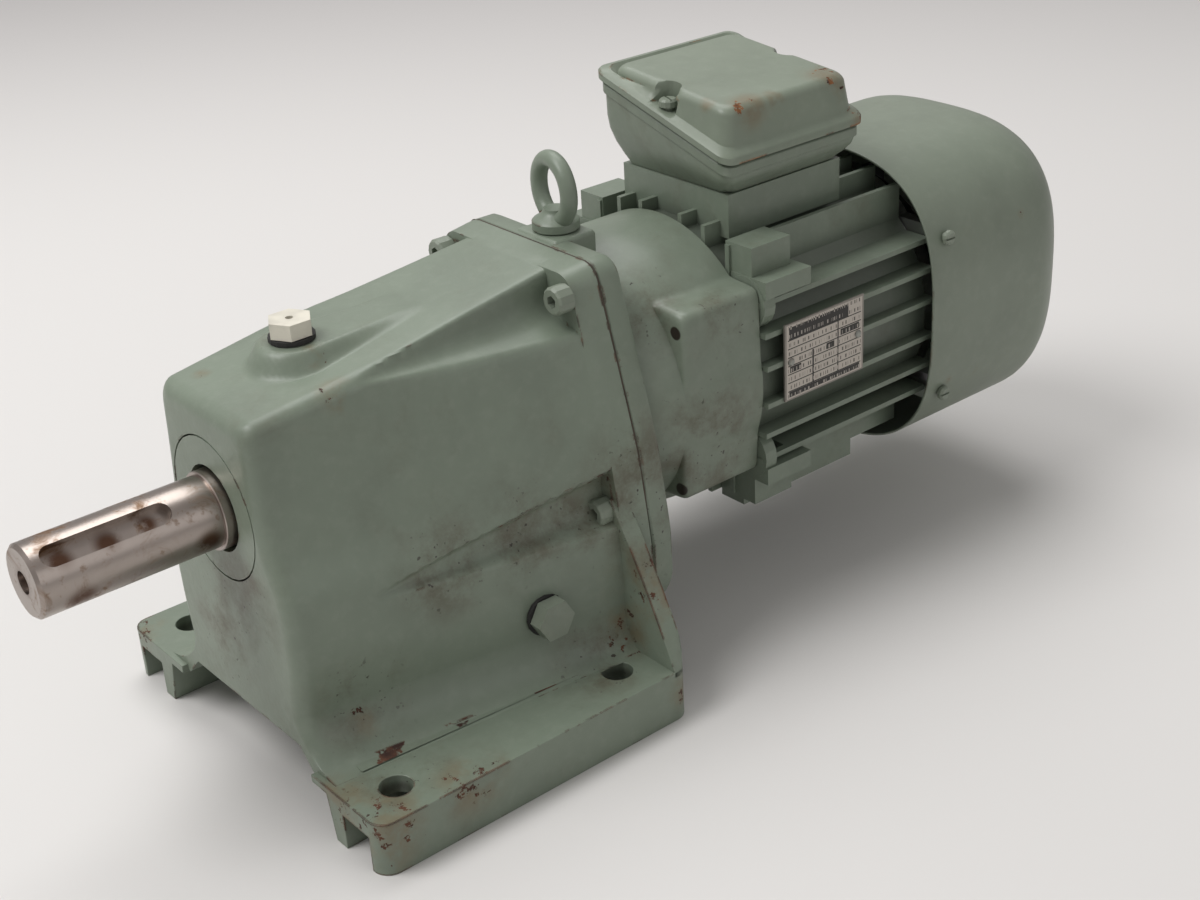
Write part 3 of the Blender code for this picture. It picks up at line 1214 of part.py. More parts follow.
def slotted_screw(name, seat, turn, sizes, slot_turn=0.0):
    """A cheese head screw with its seat at a place. Sizes are head and shank radius, height and length."""
    head, shank, height, length = sizes
    profile = [(height, 0), (height, head - MM), (height - MM, head), (GAP, head), (GAP, shank),
               (-length, shank), (-length, 0)]
    screw = turned(name, profile, seat, ZINC, steps=12, rotation=turn)
    half = 0.5 * MM
    blade = box(f"{name}_slot", (-2 * head, 2 * head), (-half, half), (height - MM, height + MM))
    blade.location = seat
    blade.rotation_euler = turn
    blade.rotation_euler.rotate_axis("Z", slot_turn)
    return smooth(cut(screw, blade))


def cowl_screws():
    """Slotted screws through the cowl's sides into the shield's lugs."""
    head, shank = COWL_SCREW_HEAD / 2, COWL_SCREW_DIAMETER / 2
    out = rounded(COWL_HALF_WIDTH, COWL_SCREW_RISE - head)
    for n, (side, z) in enumerate(cowl_screw_places(), 1):
        seat = Vector((FACE_X + COWL_SCREW_X, side * out, z))
        slotted_screw(f"cowl_screw_{n}", seat, facing((0, side, 0)), (head, shank, 3 * MM, 12 * MM))


def slant(pair, half):
    """A height that changes evenly across the box, from the near side's value to the far side's."""
    return lambda y: mix(pair, (y + half) / (2 * half))


def lifted(height, rise):
    return lambda y: height(y) + rise


def box_loop(form, half_x, near, far, height):
    """A loop of vertices round a rounded rectangle, with a height for each place across."""
    loop = []
    for cx, cy, start in ((half_x, far, 0), (-half_x, far, 90), (-half_x, near, 180), (half_x, near, 270)):
        centre = cx - math.copysign(BOX_CORNER, cx), cy - math.copysign(BOX_CORNER, cy)
        loop += arc(centre, BOX_CORNER, start, start + 90, 3)
    return [form.verts.new((FACE_X + BOX_X + x, y, height(y))) for x, y in loop]


def box_skin(name, loops, shade=None, ends=True):
    """A closed body through a row of loops, given as (half length, near edge, far edge, height)."""
    form = bmesh.new()
    rows = [box_loop(form, *loop) for loop in loops]
    for one, two in zip(rows, rows[1:]):
        bridge(form, one, two)
    if ends:
        form.faces.new(rows[0])
        form.faces.new(rows[-1])
    else:
        bridge(form, rows[-1], rows[0])
    return from_bmesh(name, form, shade)


def terminal_box():
    """The base, the slanted seal and the wedge-shaped cover, with what they hold."""
    rim = slant([BOX_BOTTOM + rise for rise in BOX_RIM_RISE], BOX_RIM_HALF)
    floor = BOX_BOTTOM + GAP + BOX_WALL
    base = terminal_base(rim, floor)
    wide = [half - BOX_EDGE_INSET - 2 * SINK for half in (BOX_RIM_LENGTH / 2, BOX_RIM_HALF)]
    narrow = [half - BOX_EDGE_WIDTH + 4 * SINK for half in wide]
    low, high = lifted(rim, GAP), lifted(rim, GAP + BOX_SEAL)
    loops = [(x, -y, y, height) for (x, y), height in ((wide, low), (wide, high), (narrow, high), (narrow, low))]
    seal = box_skin("terminal_box_seal", loops, RUBBER, ends=False)
    lid = cover(lifted(rim, 2 * GAP + BOX_SEAL))
    for name, side in (("front", -1), ("rear", 1)):
        cover_screw(name, side, rim(0), (base, seal, lid))
    smooth(lid)
    terminal_board(floor)
    cable_gland(base, floor)


def terminal_base(rim, floor):
    """The cast base, flaring from the frame's pad out to an edge under the slanted rim."""
    x, y = BOX_PAD_LENGTH / 2 - MM, BOX_PAD_HALF - MM
    rim_x, rim_y = BOX_RIM_LENGTH / 2 - BOX_EDGE_INSET, BOX_RIM_HALF - BOX_EDGE_INSET
    in_x, in_y = rim_x - BOX_EDGE_WIDTH, rim_y - BOX_EDGE_WIDTH
    bottom, level = slant([BOX_BOTTOM + GAP] * 2, 1), slant([floor] * 2, 1)
    base = box_skin("terminal_box_base", [
        (x, -y, y, bottom), (rim_x, -rim_y, rim_y, lifted(rim, -BOX_EDGE)), (rim_x, -rim_y, rim_y, rim),
        (in_x, -in_y, in_y, rim), (x - BOX_WALL, BOX_WALL - y, y - BOX_WALL, level)], GREEN_PAINT)
    middle = FACE_X + BOX_X
    return cut(base, rod("base_wire_way", (middle, 0, BOX_BOTTOM - MM), (middle, 0, floor + MM),
                         WIRE_WAY_DIAMETER / 2))


def cover(seat):
    """The cover: a lip on the slanted seal, drawn up to a top that is nearly level."""
    lip_x, lip = BOX_RIM_LENGTH / 2, BOX_RIM_HALF
    near, far = -lip + COVER_TOP_INSET[0], lip - COVER_TOP_INSET[1]
    top_x = lip_x - COVER_TOP_INSET[0]
    top = slant([BOX_BOTTOM + rise for rise in COVER_TOP_RISE], BOX_RIM_HALF)
    edge = lifted(seat, COVER_EDGE)
    soft = COVER_ROUNDING
    item = box_skin("terminal_box_cover", [
        (lip_x, -lip, lip, seat), (lip_x, -lip, lip, edge),
        (lip_x - COVER_LIP, COVER_LIP - lip, lip - COVER_LIP, lifted(edge, MM)),
        (top_x, near, far, lifted(top, -soft)), (top_x - soft, near + soft, far - soft, top)], GREEN_PAINT)
    inset = COVER_LIP + BOX_WALL
    room = box_skin("cover_room", [
        (lip_x - inset, inset - lip, lip - inset, lifted(seat, -2 * MM)),
        (top_x - BOX_WALL - MM, near + BOX_WALL, far - BOX_WALL - MM, lifted(top, -BOX_WALL - soft))])
    for side in (-1, 1):
        x = FACE_X + BOX_X + side * (lip_x - COVER_SCREW_INSET)
        cut(room, rod(f"pillar_{side}", (x, 0, BOX_BOTTOM), (x, 0, top(lip) + 9 * MM), DIMPLE_RADIUS + BOX_WALL, 20))
    return cut(item, room)


def cover_screw(name, side, rim_height, pieces):
    """A slotted screw in a round dimple at the middle of the cover's front or rear edge."""
    base, seal, lid = pieces
    x = FACE_X + BOX_X + side * (BOX_RIM_LENGTH / 2 - COVER_SCREW_INSET)
    head, shank = COVER_SCREW_HEAD / 2, COVER_SCREW_DIAMETER / 2
    seat = rim_height + 2 * GAP + BOX_SEAL + COVER_EDGE + MM
    join(lid, rod(f"screw_seat_{name}", (x, 0, seat - 3 * MM), (x, 0, seat + MM), DIMPLE_RADIUS, 20))
    cut(lid, rod(f"dimple_{name}", (x, 0, seat), (x, 0, seat + 30 * MM), DIMPLE_RADIUS + SINK, 20))
    bore = rod(f"cover_bore_{name}", (x, 0, rim_height - 8 * MM), (x, 0, seat + MM), shank + GAP, 10)
    for piece in (base, seal, lid):
        cut(piece, bore)
    return slotted_screw(f"cover_screw_{name}", (x, 0, seat), (0, 0, 0), (head, shank, 4 * MM, 10 * MM),
                         math.radians(70))


def terminal_board(floor):
    """A block with six terminal posts on the floor of the box."""
    x = FACE_X + BOX_X
    length, width, height = BOARD_SIZE
    base = floor + GAP
    board = box("terminal_board", (x - length / 2, x + length / 2), (-width / 2, width / 2),
                (base, base + height), BLACK_PLASTIC)
    for row in (-1, 1):
        for column in (-1, 0, 1):
            post = (x + column * TERMINAL_PITCH[0], row * TERMINAL_PITCH[1] / 2)
            join(board, rod(f"post_{row}_{column}", (*post, base + MM), (*post, base + height + 5 * MM),
                            TERMINAL_DIAMETER / 2, 8))
    return board


def cable_gland(base, floor):
    """A blanked gland on a flat boss on the far side of the base."""
    x = FACE_X + BOX_X
    r = GLAND_DIAMETER / 2
    z = floor + r + 4 * MM
    seat = BOX_RIM_HALF - MM
    inner = BOX_PAD_HALF - 2 * MM
    join(base, rod("gland_boss", (x, inner, z), (x, seat, z), r + MM, 20))
    cut(base, rod("gland_hole", (x, inner - 8 * MM, z), (x, seat + MM, z), r * 0.7 + GAP, 16))
    profile = [(GLAND_LENGTH, 0), (GLAND_LENGTH, r * 0.75), (GLAND_LENGTH - 3 * MM, r), (GAP, r), (GAP, r * 0.7),
               (-9 * MM, r * 0.7), (-9 * MM, 0)]
    return smooth(turned("cable_gland", profile, (x, seat, z), BLACK_PLASTIC, steps=16, rotation=facing((0, 1, 0))))


def nameplate():
    """The rating plate across the near side's fins, with a rivet at each end."""
    start = FACE_X + FRAME_START + PLATE_SETBACK
    back = -(FIN_REACH + GAP)
    z = MOTOR_HEIGHT + PLATE_RISE
    box("nameplate", (start, start + PLATE_LENGTH), (back, back - PLATE_THICKNESS),
        (z - PLATE_HEIGHT / 2, z + PLATE_HEIGHT / 2), PLATE_METAL)
    radius = RIVET_DIAMETER / 2
    profile = [(RIVET_HEIGHT, 0), (RIVET_HEIGHT * 0.7, radius * 0.7), (0, radius), (0, 0)]
    for n, along in enumerate((RIVET_DIAMETER, PLATE_LENGTH - RIVET_DIAMETER), 1):
        middle = (start + along, back - PLATE_THICKNESS - GAP, z)
        smooth(turned(f"plate_rivet_{n}", profile, middle, ZINC, steps=10, rotation=facing((0, -1, 0))))


def main():
    room = gear_room()
    gear_housing(room)
    joint_pieces(room)
    seals()
    bearings()
    output_group()
    lay_group()
    rotor_group()
    housing_screws()
    plugs()
    eye_bolt()
    motor_adapter()
    adapter_screws()
    motor_frame()
    stator()
    end_shield()
    fan_cowl()
    cowl_screws()
    terminal_box()
    nameplate()


main()
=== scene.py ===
"""Looks of a foot-mounted gear motor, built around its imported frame.

Every new piece is a surface computed with numpy. Lengths are in metres and +Z is up.
The output shaft points to -X, the fan cowl to +X, and the nameplate side is -Y.
"""
import math

import bmesh
import bpy
import numpy as np
from mathutils import Matrix, Vector
from mathutils.geometry import delaunay_2d_cdt


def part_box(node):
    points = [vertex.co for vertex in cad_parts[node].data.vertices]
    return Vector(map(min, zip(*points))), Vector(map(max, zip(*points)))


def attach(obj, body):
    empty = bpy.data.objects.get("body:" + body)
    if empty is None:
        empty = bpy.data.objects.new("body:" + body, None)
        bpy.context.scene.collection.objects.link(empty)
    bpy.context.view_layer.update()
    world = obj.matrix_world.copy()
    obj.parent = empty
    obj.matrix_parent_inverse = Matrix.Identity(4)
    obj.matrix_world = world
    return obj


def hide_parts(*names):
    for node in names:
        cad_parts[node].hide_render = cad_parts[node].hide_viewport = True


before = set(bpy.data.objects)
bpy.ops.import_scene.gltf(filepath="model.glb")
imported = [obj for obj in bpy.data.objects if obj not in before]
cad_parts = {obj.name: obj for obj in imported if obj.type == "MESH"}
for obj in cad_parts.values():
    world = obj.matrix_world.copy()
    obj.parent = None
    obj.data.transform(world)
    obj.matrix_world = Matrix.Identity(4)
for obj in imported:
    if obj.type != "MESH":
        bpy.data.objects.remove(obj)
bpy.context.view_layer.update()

MM = 0.001
PI = math.pi
FACE_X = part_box("gear_housing")[0][0] + 3 * MM

# In millimetres: the housing's front face, and heights above the floor.
X0 = FACE_X / MM
SHAFT_AXIS = 130.0
MOTOR_AXIS = 122.5
FOOT_HOLE_X = (X0 + 18.7, X0 + 138.7)
FOOT_HOLE_Y = 87.5
FOOT_TOP = 25.8

PAINT_GREEN = (0.2, 0.24, 0.185, 1)
DEEP_GREEN = (0.05, 0.06, 0.045, 1)
PALE_DUST = (0.32, 0.35, 0.29, 1)
BROWN_DIRT = (0.085, 0.065, 0.04, 1)
SOOT = (0.085, 0.07, 0.043, 1)
OLD_OIL = (0.035, 0.028, 0.02, 1)
RUST_BLOOM = (0.17, 0.11, 0.05, 1)
DARK_RUST = (0.042, 0.019, 0.013, 1)
BROWN_RUST = (0.12, 0.05, 0.028, 1)

# Nodes and finishes


class Tree:
    """A short way to add nodes to a material or a node group."""

    def __init__(self, tree):
        self.tree = tree

    def add(self, kind, inputs=None, **settings):
        """A new node, with its settings, and its inputs set or linked."""
        node = self.tree.nodes.new("ShaderNode" + kind)
        for key, value in settings.items():
            setattr(node, key, value)
        for key, value in (inputs or {}).items():
            self.put(node.inputs[key], value)
        return node

    def put(self, socket, value):
        """Links a socket or a node's first output to a socket, or sets a plain value on it."""
        if isinstance(value, bpy.types.NodeSocket):
            self.tree.links.new(value, socket)
        elif isinstance(value, bpy.types.Node):
            self.tree.links.new(value.outputs[0], socket)
        else:
            socket.default_value = value

    def math(self, operation, a, b=0.0, clamp=False):
        return self.add("Math", {0: a, 1: b}, operation=operation, use_clamp=clamp).outputs[0]

    def noise(self, where, scale, detail=4.0, rough=0.55, distortion=0.0):
        return self.add("TexNoise", {"Vector": where, "Scale": scale, "Detail": detail, "Roughness": rough,
                                     "Distortion": distortion}).outputs["Fac"]

    def step(self, value, low, high):
        """Smoothly from 0 at low to 1 at high."""
        node = self.add("MapRange", {"Value": value, "From Min": low, "From Max": high},
                        interpolation_type="SMOOTHSTEP")
        return node.outputs[0]

    def mix(self, share, a, b):
        node = self.add("Mix", data_type="RGBA")
        self.put(node.inputs[0], share)
        self.put(node.inputs[6], a)
        self.put(node.inputs[7], b)
        return node.outputs[2]

    def inside(self, value, low, high):
        """1 between two values, else 0."""
        return self.math("MULTIPLY", self.math("GREATER_THAN", value, low),
                         self.math("LESS_THAN", value, high))

    def near(self, where, places):
        """From 0 to 1 towards the nearest of some places, given in millimetres as (x, y, z, radius)."""
        mask = None
        for x, y, z, radius in places:
            away = self.add("VectorMath", {0: where, 1: (x * MM, y * MM, z * MM)}, operation="DISTANCE")
            here = self.step(away.outputs["Value"], radius * MM, radius * MM * 0.25)
            mask = here if mask is None else self.math("MAXIMUM", mask, here)
        return mask

    def mix_value(self, share, a, b):
        node = self.add("Mix", data_type="FLOAT")
        self.put(node.inputs[0], share)
        self.put(node.inputs[2], a)
        self.put(node.inputs[3], b)
        return node.outputs[0]


def group(name, inputs, outputs):
    """An empty node group with its sockets. Returns its tree, input and output nodes."""
    tree = bpy.data.node_groups.new(name, "ShaderNodeTree")
    for side, sockets in (("INPUT", inputs), ("OUTPUT", outputs)):
        for title, kind, value in sockets:
            socket = tree.interface.new_socket(title, in_out=side, socket_type="NodeSocket" + kind)
            if value is not None and side == "INPUT":
                socket.default_value = value
    return tree, Tree(tree), tree.nodes.new("NodeGroupInput"), tree.nodes.new("NodeGroupOutput")


def worn_paint_group():
    """Cast-metal paint: mottled colour, grime in noisy streaks, and rust chips along edges."""
    tree, t, given, out = group("worn_paint", [
        ("Paint", "Color", PAINT_GREEN), ("Edge Chips", "Float", 0.5), ("Spots", "Float", 0.3),
        ("Grime", "Float", 0.5), ("Grain", "Float", 0.5), ("Rust", "Float", 0.0), ("Smear", "Float", 0.0),
        ("Rust Colour", "Color", BROWN_RUST)],
        [("Color", "Color", None), ("Roughness", "Float", None), ("Metallic", "Float", None),
         ("Height", "Float", None)])
    where = t.add("TexCoord").outputs["Object"]
    mottle = t.noise(where, 22.0, 3.0, 0.6)
    fine = t.noise(where, 160.0, 3.0, 0.6)
    bevel = t.add("Bevel", {"Radius": 0.0016}, samples=4)
    normal = t.add("NewGeometry").outputs["Normal"]
    facing = t.add("VectorMath", {0: bevel.outputs[0], 1: normal}, operation="DOT_PRODUCT").outputs["Value"]
    edge = t.math("SUBTRACT", 1.0, facing, True)
    patch = t.noise(where, 55.0, 4.0, 0.65)
    torn = t.math("MULTIPLY", t.step(edge, 0.004, 0.09), t.step(patch, 0.5, 0.62), True)
    chips = t.math("MULTIPLY", torn, given.outputs["Edge Chips"], True)
    speck = t.noise(where, 95.0, 2.0, 0.5, 0.6)
    region = t.step(t.noise(where, 9.0, 2.0, 0.5), 0.52, 0.72)
    spots = t.math("MULTIPLY", t.math("MULTIPLY", t.step(speck, 0.67, 0.73), region),
                   given.outputs["Spots"], True)
    bare = t.math("MAXIMUM", chips, spots)
    rust, smear = given.outputs["Rust"], given.outputs["Smear"]
    ragged = t.noise(where, 150.0, 5.0, 0.7)
    along_edge = t.math("MULTIPLY", t.step(edge, 0.0015, 0.03), t.step(ragged, 0.33, 0.45))
    open_patch = t.step(t.math("ADD", ragged, t.math("MULTIPLY", rust, 0.11)), 0.66, 0.74)
    worn = t.math("MULTIPLY", t.math("MAXIMUM", along_edge, open_patch), t.step(rust, 0.05, 0.5))
    bare = t.step(t.math("MAXIMUM", bare, worn), 0.25, 0.6)
    rust_tone = t.mix(t.step(fine, 0.35, 0.65), DARK_RUST, given.outputs["Rust Colour"])
    shade = t.mix(t.step(mottle, 0.35, 0.7), given.outputs["Paint"],
                  t.mix(0.14, given.outputs["Paint"], DEEP_GREEN))
    shade = t.mix(t.math("MULTIPLY", t.step(fine, 0.45, 0.75), 0.1), shade, PALE_DUST)
    grime = t.step(t.noise(where, 13.0, 5.0, 0.7, 1.2), 0.46, 0.8)
    streak = t.step(t.noise(where, 70.0, 3.0, 0.7), 0.3, 0.8)
    dirt = t.math("MULTIPLY", t.math("MULTIPLY", grime, streak), given.outputs["Grime"], True)
    shade = t.mix(dirt, shade, BROWN_DIRT)
    halo = t.math("MULTIPLY", t.math("MULTIPLY", rust, 0.55), t.step(patch, 0.4, 0.65), True)
    shade = t.mix(halo, shade, RUST_BLOOM)
    cloud = t.step(t.noise(where, 34.0, 6.0, 0.72), 0.4, 0.68)
    shade = t.mix(t.math("MULTIPLY", t.math("MULTIPLY", smear, 0.85), cloud, True), shade, SOOT)
    dots = t.math("MULTIPLY", smear, t.step(t.noise(where, 360.0, 2.0, 0.5), 0.67, 0.74), True)
    shade = t.mix(dots, shade, OLD_OIL)
    t.put(out.inputs["Color"], t.mix(bare, shade, rust_tone))
    t.put(out.inputs["Roughness"],
          t.mix_value(bare, t.math("ADD", 0.4, t.math("MULTIPLY", dirt, 0.35)), 0.85))
    t.put(out.inputs["Metallic"], t.math("MULTIPLY", bare, 0.15))
    lumps = t.math("MULTIPLY", t.noise(where, 420.0, 2.0, 0.5), given.outputs["Grain"])
    low = t.math("MULTIPLY", t.noise(where, 48.0, 2.0, 0.5), 1.5)
    t.put(out.inputs["Height"], t.math("SUBTRACT", t.math("ADD", lumps, low), t.math("MULTIPLY", bare, 0.7)))
    return tree


def stained_metal_group():
    """Turned or ground metal: fine lines round the X axis, brown stains and dull patches."""
    tree, t, given, out = group("stained_metal", [
        ("Metal", "Color", (0.5, 0.48, 0.46, 1)), ("Stain", "Float", 0.5), ("Lines", "Float", 0.5)],
        [("Color", "Color", None), ("Roughness", "Float", None), ("Height", "Float", None)])
    where = t.add("TexCoord").outputs["Object"]
    along = t.add("Mapping", {"Vector": where, "Scale": (900.0, 6.0, 6.0)})
    lines = t.noise(along.outputs[0], 1.0, 2.0, 0.6)
    stain = t.step(t.noise(where, 42.0, 5.0, 0.7, 1.0), 0.5, 0.72)
    fleck = t.step(t.noise(where, 190.0, 3.0, 0.6), 0.6, 0.72)
    brown = t.math("MULTIPLY", t.math("ADD", stain, t.math("MULTIPLY", fleck, 0.5)),
                   given.outputs["Stain"], True)
    tone = t.mix(brown, given.outputs["Metal"], (0.2, 0.115, 0.06, 1))
    t.put(out.inputs["Color"], tone)
    t.put(out.inputs["Roughness"], t.math("ADD", 0.24, t.math("ADD", t.math("MULTIPLY", brown, 0.35),
                                                              t.math("MULTIPLY", lines, 0.12))))
    t.put(out.inputs["Height"], t.math("MULTIPLY", lines, given.outputs["Lines"]))
    return tree


WORN_PAINT = worn_paint_group()
STAINED_METAL = stained_metal_group()


def new_material(name, **sockets):
    """A material with a Principled shader whose plain values are set on its own sockets."""
    shade = bpy.data.materials.new(name)
    shade.use_nodes = True
    bsdf = shade.node_tree.nodes["Principled BSDF"]
    for key, value in sockets.items():
        bsdf.inputs[key.replace("_", " ")].default_value = value
    return shade, Tree(shade.node_tree), bsdf


def raised(t, bsdf, height, distance):
    """Feeds a height, in units of the distance in metres, to the shader's normal."""
    bump = t.add("Bump", {"Height": height, "Strength": 0.6, "Distance": distance})
    t.put(bsdf.inputs["Normal"], bump)


def painted(name, colour=PAINT_GREEN, chips=0.6, spots=0.35, grime=0.45, grain=0.5, relief=0.00025,
            rust=(), smears=(), hole_shade=(),
            rust_colour=None, gap_shade=False):
    """A painted finish. Its marks are places in millimetres, each with a radius; rust eats the paint and
    smears darken it; the hole marks paint shade inside holes, and the last flag paints shade between the
    fins."""
    shade, t, bsdf = new_material(name)
    node = t.add("Group")
    node.node_tree = WORN_PAINT
    for key, value in {"Paint": colour, "Edge Chips": chips, "Spots": spots, "Grime": grime,
                       "Grain": grain}.items():
        node.inputs[key].default_value = value
    where = t.add("TexCoord").outputs["Object"]
    for key, places in (("Rust", rust), ("Smear", smears)):
        if places:
            t.put(node.inputs[key], t.near(where, places))
    if rust_colour:
        node.inputs["Rust Colour"].default_value = rust_colour
    colour = node.outputs["Color"]
    # Painted shade: near the motor's axis, between the fins, the colour darkens to near black.
    if gap_shade:
        off = t.add("VectorMath", {0: where, 1: (0, 0, MOTOR_AXIS * MM)}, operation="SUBTRACT").outputs[0]
        flat = t.add("VectorMath", {0: off, 1: (0, 1, 1)}, operation="MULTIPLY").outputs[0]
        reach = t.add("VectorMath", {0: flat}, operation="LENGTH").outputs["Value"]
        colour = t.mix(t.math("MULTIPLY", t.step(reach, 0.073, 0.062), 0.72), colour,
                       (0.035, 0.038, 0.032, 1))
    # Painted shade: the colour goes near black round the given hole places, as inside a hole.
    if hole_shade:
        colour = t.mix(t.step(t.near(where, hole_shade), 0.1, 0.4), colour, (0.02, 0.014, 0.01, 1))
    t.put(bsdf.inputs["Base Color"], colour)
    t.put(bsdf.inputs["Roughness"], node.outputs["Roughness"])
    t.put(bsdf.inputs["Metallic"], node.outputs["Metallic"])
    raised(t, bsdf, node.outputs["Height"], relief)
    return shade


def metal(name, colour, stain=0.3, lines=0.4, relief=0.00008, stains=()):
    """A bare metal finish. Its stains are places in millimetres, each with a radius."""
    shade, t, bsdf = new_material(name, Metallic=1.0)
    node = t.add("Group")
    node.node_tree = STAINED_METAL
    for key, value in (("Metal", colour), ("Stain", stain), ("Lines", lines)):
        node.inputs[key].default_value = value
    colour = node.outputs["Color"]
    if stains:
        where = t.add("TexCoord").outputs["Object"]
        mask = t.math("MULTIPLY", t.near(where, stains), t.step(t.noise(where, 60.0, 5.0, 0.7), 0.3, 0.52))
        colour = t.mix(mask, colour, (0.11, 0.06, 0.04, 1))
    t.put(bsdf.inputs["Base Color"], colour)
    t.put(bsdf.inputs["Roughness"], node.outputs["Roughness"])
    raised(t, bsdf, node.outputs["Height"], relief)
    return shade


def moulded(name, colour, rough, scale=300.0, relief=0.00006):
    """Plastic, rubber or paper: slight mottling and a fine pitted surface."""
    shade, t, bsdf = new_material(name)
    where = t.add("TexCoord").outputs["Object"]
    mottle = t.noise(where, 60.0, 3.0)
    darker = tuple(c * 0.72 for c in colour[:3]) + (1,)
    t.put(bsdf.inputs["Base Color"], t.mix(t.step(mottle, 0.35, 0.7), colour, darker))
    t.put(bsdf.inputs["Roughness"], t.math("ADD", rough - 0.06, t.math("MULTIPLY", mottle, 0.12)))
    raised(t, bsdf, t.noise(where, scale, 2.0), relief)
    return shade


def plate_finish():
    """A bare rating plate: dark bands, ruled lines and cells with rows of small dashes, no words."""
    shade, t, bsdf = new_material("nameplate", Roughness=0.42, Metallic=0.35)
    place_of = t.add("SeparateXYZ", {0: t.add("TexCoord").outputs["Object"]})
    u = t.math("DIVIDE", t.math("SUBTRACT", place_of.outputs["X"], 0.0651), 0.053)
    v = t.math("DIVIDE", t.math("SUBTRACT", place_of.outputs["Z"], 0.1125), 0.039)
    rows = t.math("FRACT", t.math("MULTIPLY", v, 9.0))
    cell = t.add("CombineXYZ", {0: t.math("MULTIPLY", u, 46.0),
                                1: t.math("FLOOR", t.math("MULTIPLY", v, 9.0))})
    dashes = t.math("MULTIPLY", t.step(t.noise(cell.outputs[0], 1.0, 1.0), 0.52, 0.56),
                    t.inside(rows, 0.3, 0.72))
    rules = t.math("MULTIPLY", t.inside(rows, -0.1, 0.12), t.inside(v, 0.08, 0.8))
    dark = t.math("MULTIPLY", t.inside(v, 0.78, 0.95), t.inside(u, 0.05, 0.8))
    for u0, u1, v0, v1 in ((0.05, 0.95, 0.04, 0.11), (0.34, 0.36, 0.11, 0.55), (0.66, 0.675, 0.11, 0.78),
                           (0.06, 0.2, 0.36, 0.44), (0.52, 0.62, 0.47, 0.55), (0.7, 0.94, 0.58, 0.66)):
        dark = t.math("MAXIMUM", dark, t.math("MULTIPLY", t.inside(u, u0, u1), t.inside(v, v0, v1)))
    framed = t.math("MULTIPLY", t.inside(u, 0.035, 0.965), t.inside(v, 0.03, 0.97))
    printed = t.math("MAXIMUM", rules, t.math("MULTIPLY", dashes, 0.8))
    ink = t.math("MULTIPLY", t.math("MAXIMUM", dark, printed), framed)
    cut_out = t.math("MULTIPLY", t.math("MULTIPLY", dark, dashes), 0.8)
    ink = t.math("SUBTRACT", ink, cut_out, True)
    rim = t.math("SUBTRACT", 1.0, t.math("MULTIPLY", t.inside(u, 0.02, 0.98), t.inside(v, 0.02, 0.98)))
    t.put(bsdf.inputs["Base Color"], t.mix(t.math("MAXIMUM", ink, t.math("MULTIPLY", rim, 0.5)),
                                           (0.46, 0.42, 0.37, 1), (0.03, 0.028, 0.026, 1)))
    return shade


HOUSING_PAINT = painted(
    "housing_paint", (0.185, 0.222, 0.17, 1), chips=0.7, spots=0.3, grime=0.5, grain=0.6,
    rust=[(-196, -107, 20, 30), (-188, -98, 26, 20), (-150, -107, 26, 24), (-198, -78, 24, 20),
          (-38, -94, 62, 30), (-32, -106, 14, 14), (-180, 22, 178, 6), (-152, -39, 181, 12),
          (-118, -43, 187, 7), (-198, 100, 25, 18), (-169, -58, 40, 11), (-148, -14, 188, 9),
          (-24, -47, 186, 7), (-40, -76, 36, 18)],
    smears=[(-122, -56, 95, 32), (-85, -62, 97, 30), (-195, -8, 88, 42), (-199, 12, 62, 34),
            (-199, -22, 100, 22), (-168, -62, 48, 30), (-172, -85, 26, 26),
            (-44, -47, 188, 15), (-58, -66, 94, 24), (-16, -72, 95, 55), (-148, 0, 191, 19),
            (-60, -80, 28, 30)],
    # Painted shade inside the foot's bolt holes.
    hole_shade=[(x, y, 20, 9.6) for x in FOOT_HOLE_X for y in (-FOOT_HOLE_Y, FOOT_HOLE_Y)])
MOTOR_PAINT = painted(
    "motor_paint", (0.18, 0.215, 0.165, 1), 0.35, 0.25, 0.55, 0.5,
    rust=[(-6, -26, 184, 8)],
    smears=[(22, -60, 105, 46), (36, -66, 163, 24), (6, -38, 168, 30), (-4, 0, 184, 26), (40, -62, 66, 36)],
    # Painted shade: dark spots for screw holes at the lugs' front ends.
    hole_shade=[(8.8, y, z, 4.2) for y in (-61, 61) for z in (83, 162)])
# The frame's paint, with painted shade darkening the gaps between its fins.
FRAME_PAINT_AND_GAP_SHADE = painted("frame_paint_and_gap_shade", (0.17, 0.205, 0.157, 1), 0.3, 0.25, 0.55, 0.5, gap_shade=True)
SCREW_PAINT = painted("screw_paint", (0.2, 0.23, 0.18, 1), chips=0.25, spots=0.2, grime=0.5, grain=0.3)
SHEET_PAINT = painted(
    "sheet_paint", (0.19, 0.222, 0.172, 1), 0.5, 0.35, 0.2, 0.25, 0.00012,
    rust=[(233, -76, 161, 4), (180, -77, 86, 4), (200, -77, 84, 5), (279, -30, 100, 6)])
COVER_PAINT = painted(
    "cover_paint", (0.2, 0.235, 0.18, 1), 0.6, 0.4, 0.25, 0.4, 0.0002,
    rust=[(78, -39, 246, 15), (94, -40, 247, 9), (134, -36, 249, 19), (147, -45, 225, 14), (64, -26, 248, 6)],
    rust_colour=(0.3, 0.12, 0.04, 1))
SHAFT_STEEL = metal(
    "shaft_steel", (0.36, 0.315, 0.285, 1), 0.95, 0.5,
    stains=[(-266, -8, 137, 8), (-246, -8, 137, 8), (-228, -7, 138, 6), (-206, -16, 124, 9),
            (-262, -14, 120, 10), (-279, 0, 130, 8)])
GEAR_STEEL = metal("gear_steel", (0.36, 0.36, 0.37, 1), 0.1)
BEARING_STEEL = metal("bearing_steel", (0.6, 0.6, 0.62, 1), 0.05)
ZINC = metal("zinc", (0.3, 0.31, 0.285, 1), 0.7, 0.3)
LAMINATION = metal("lamination", (0.2, 0.2, 0.21, 1), 0.3, 1.0)
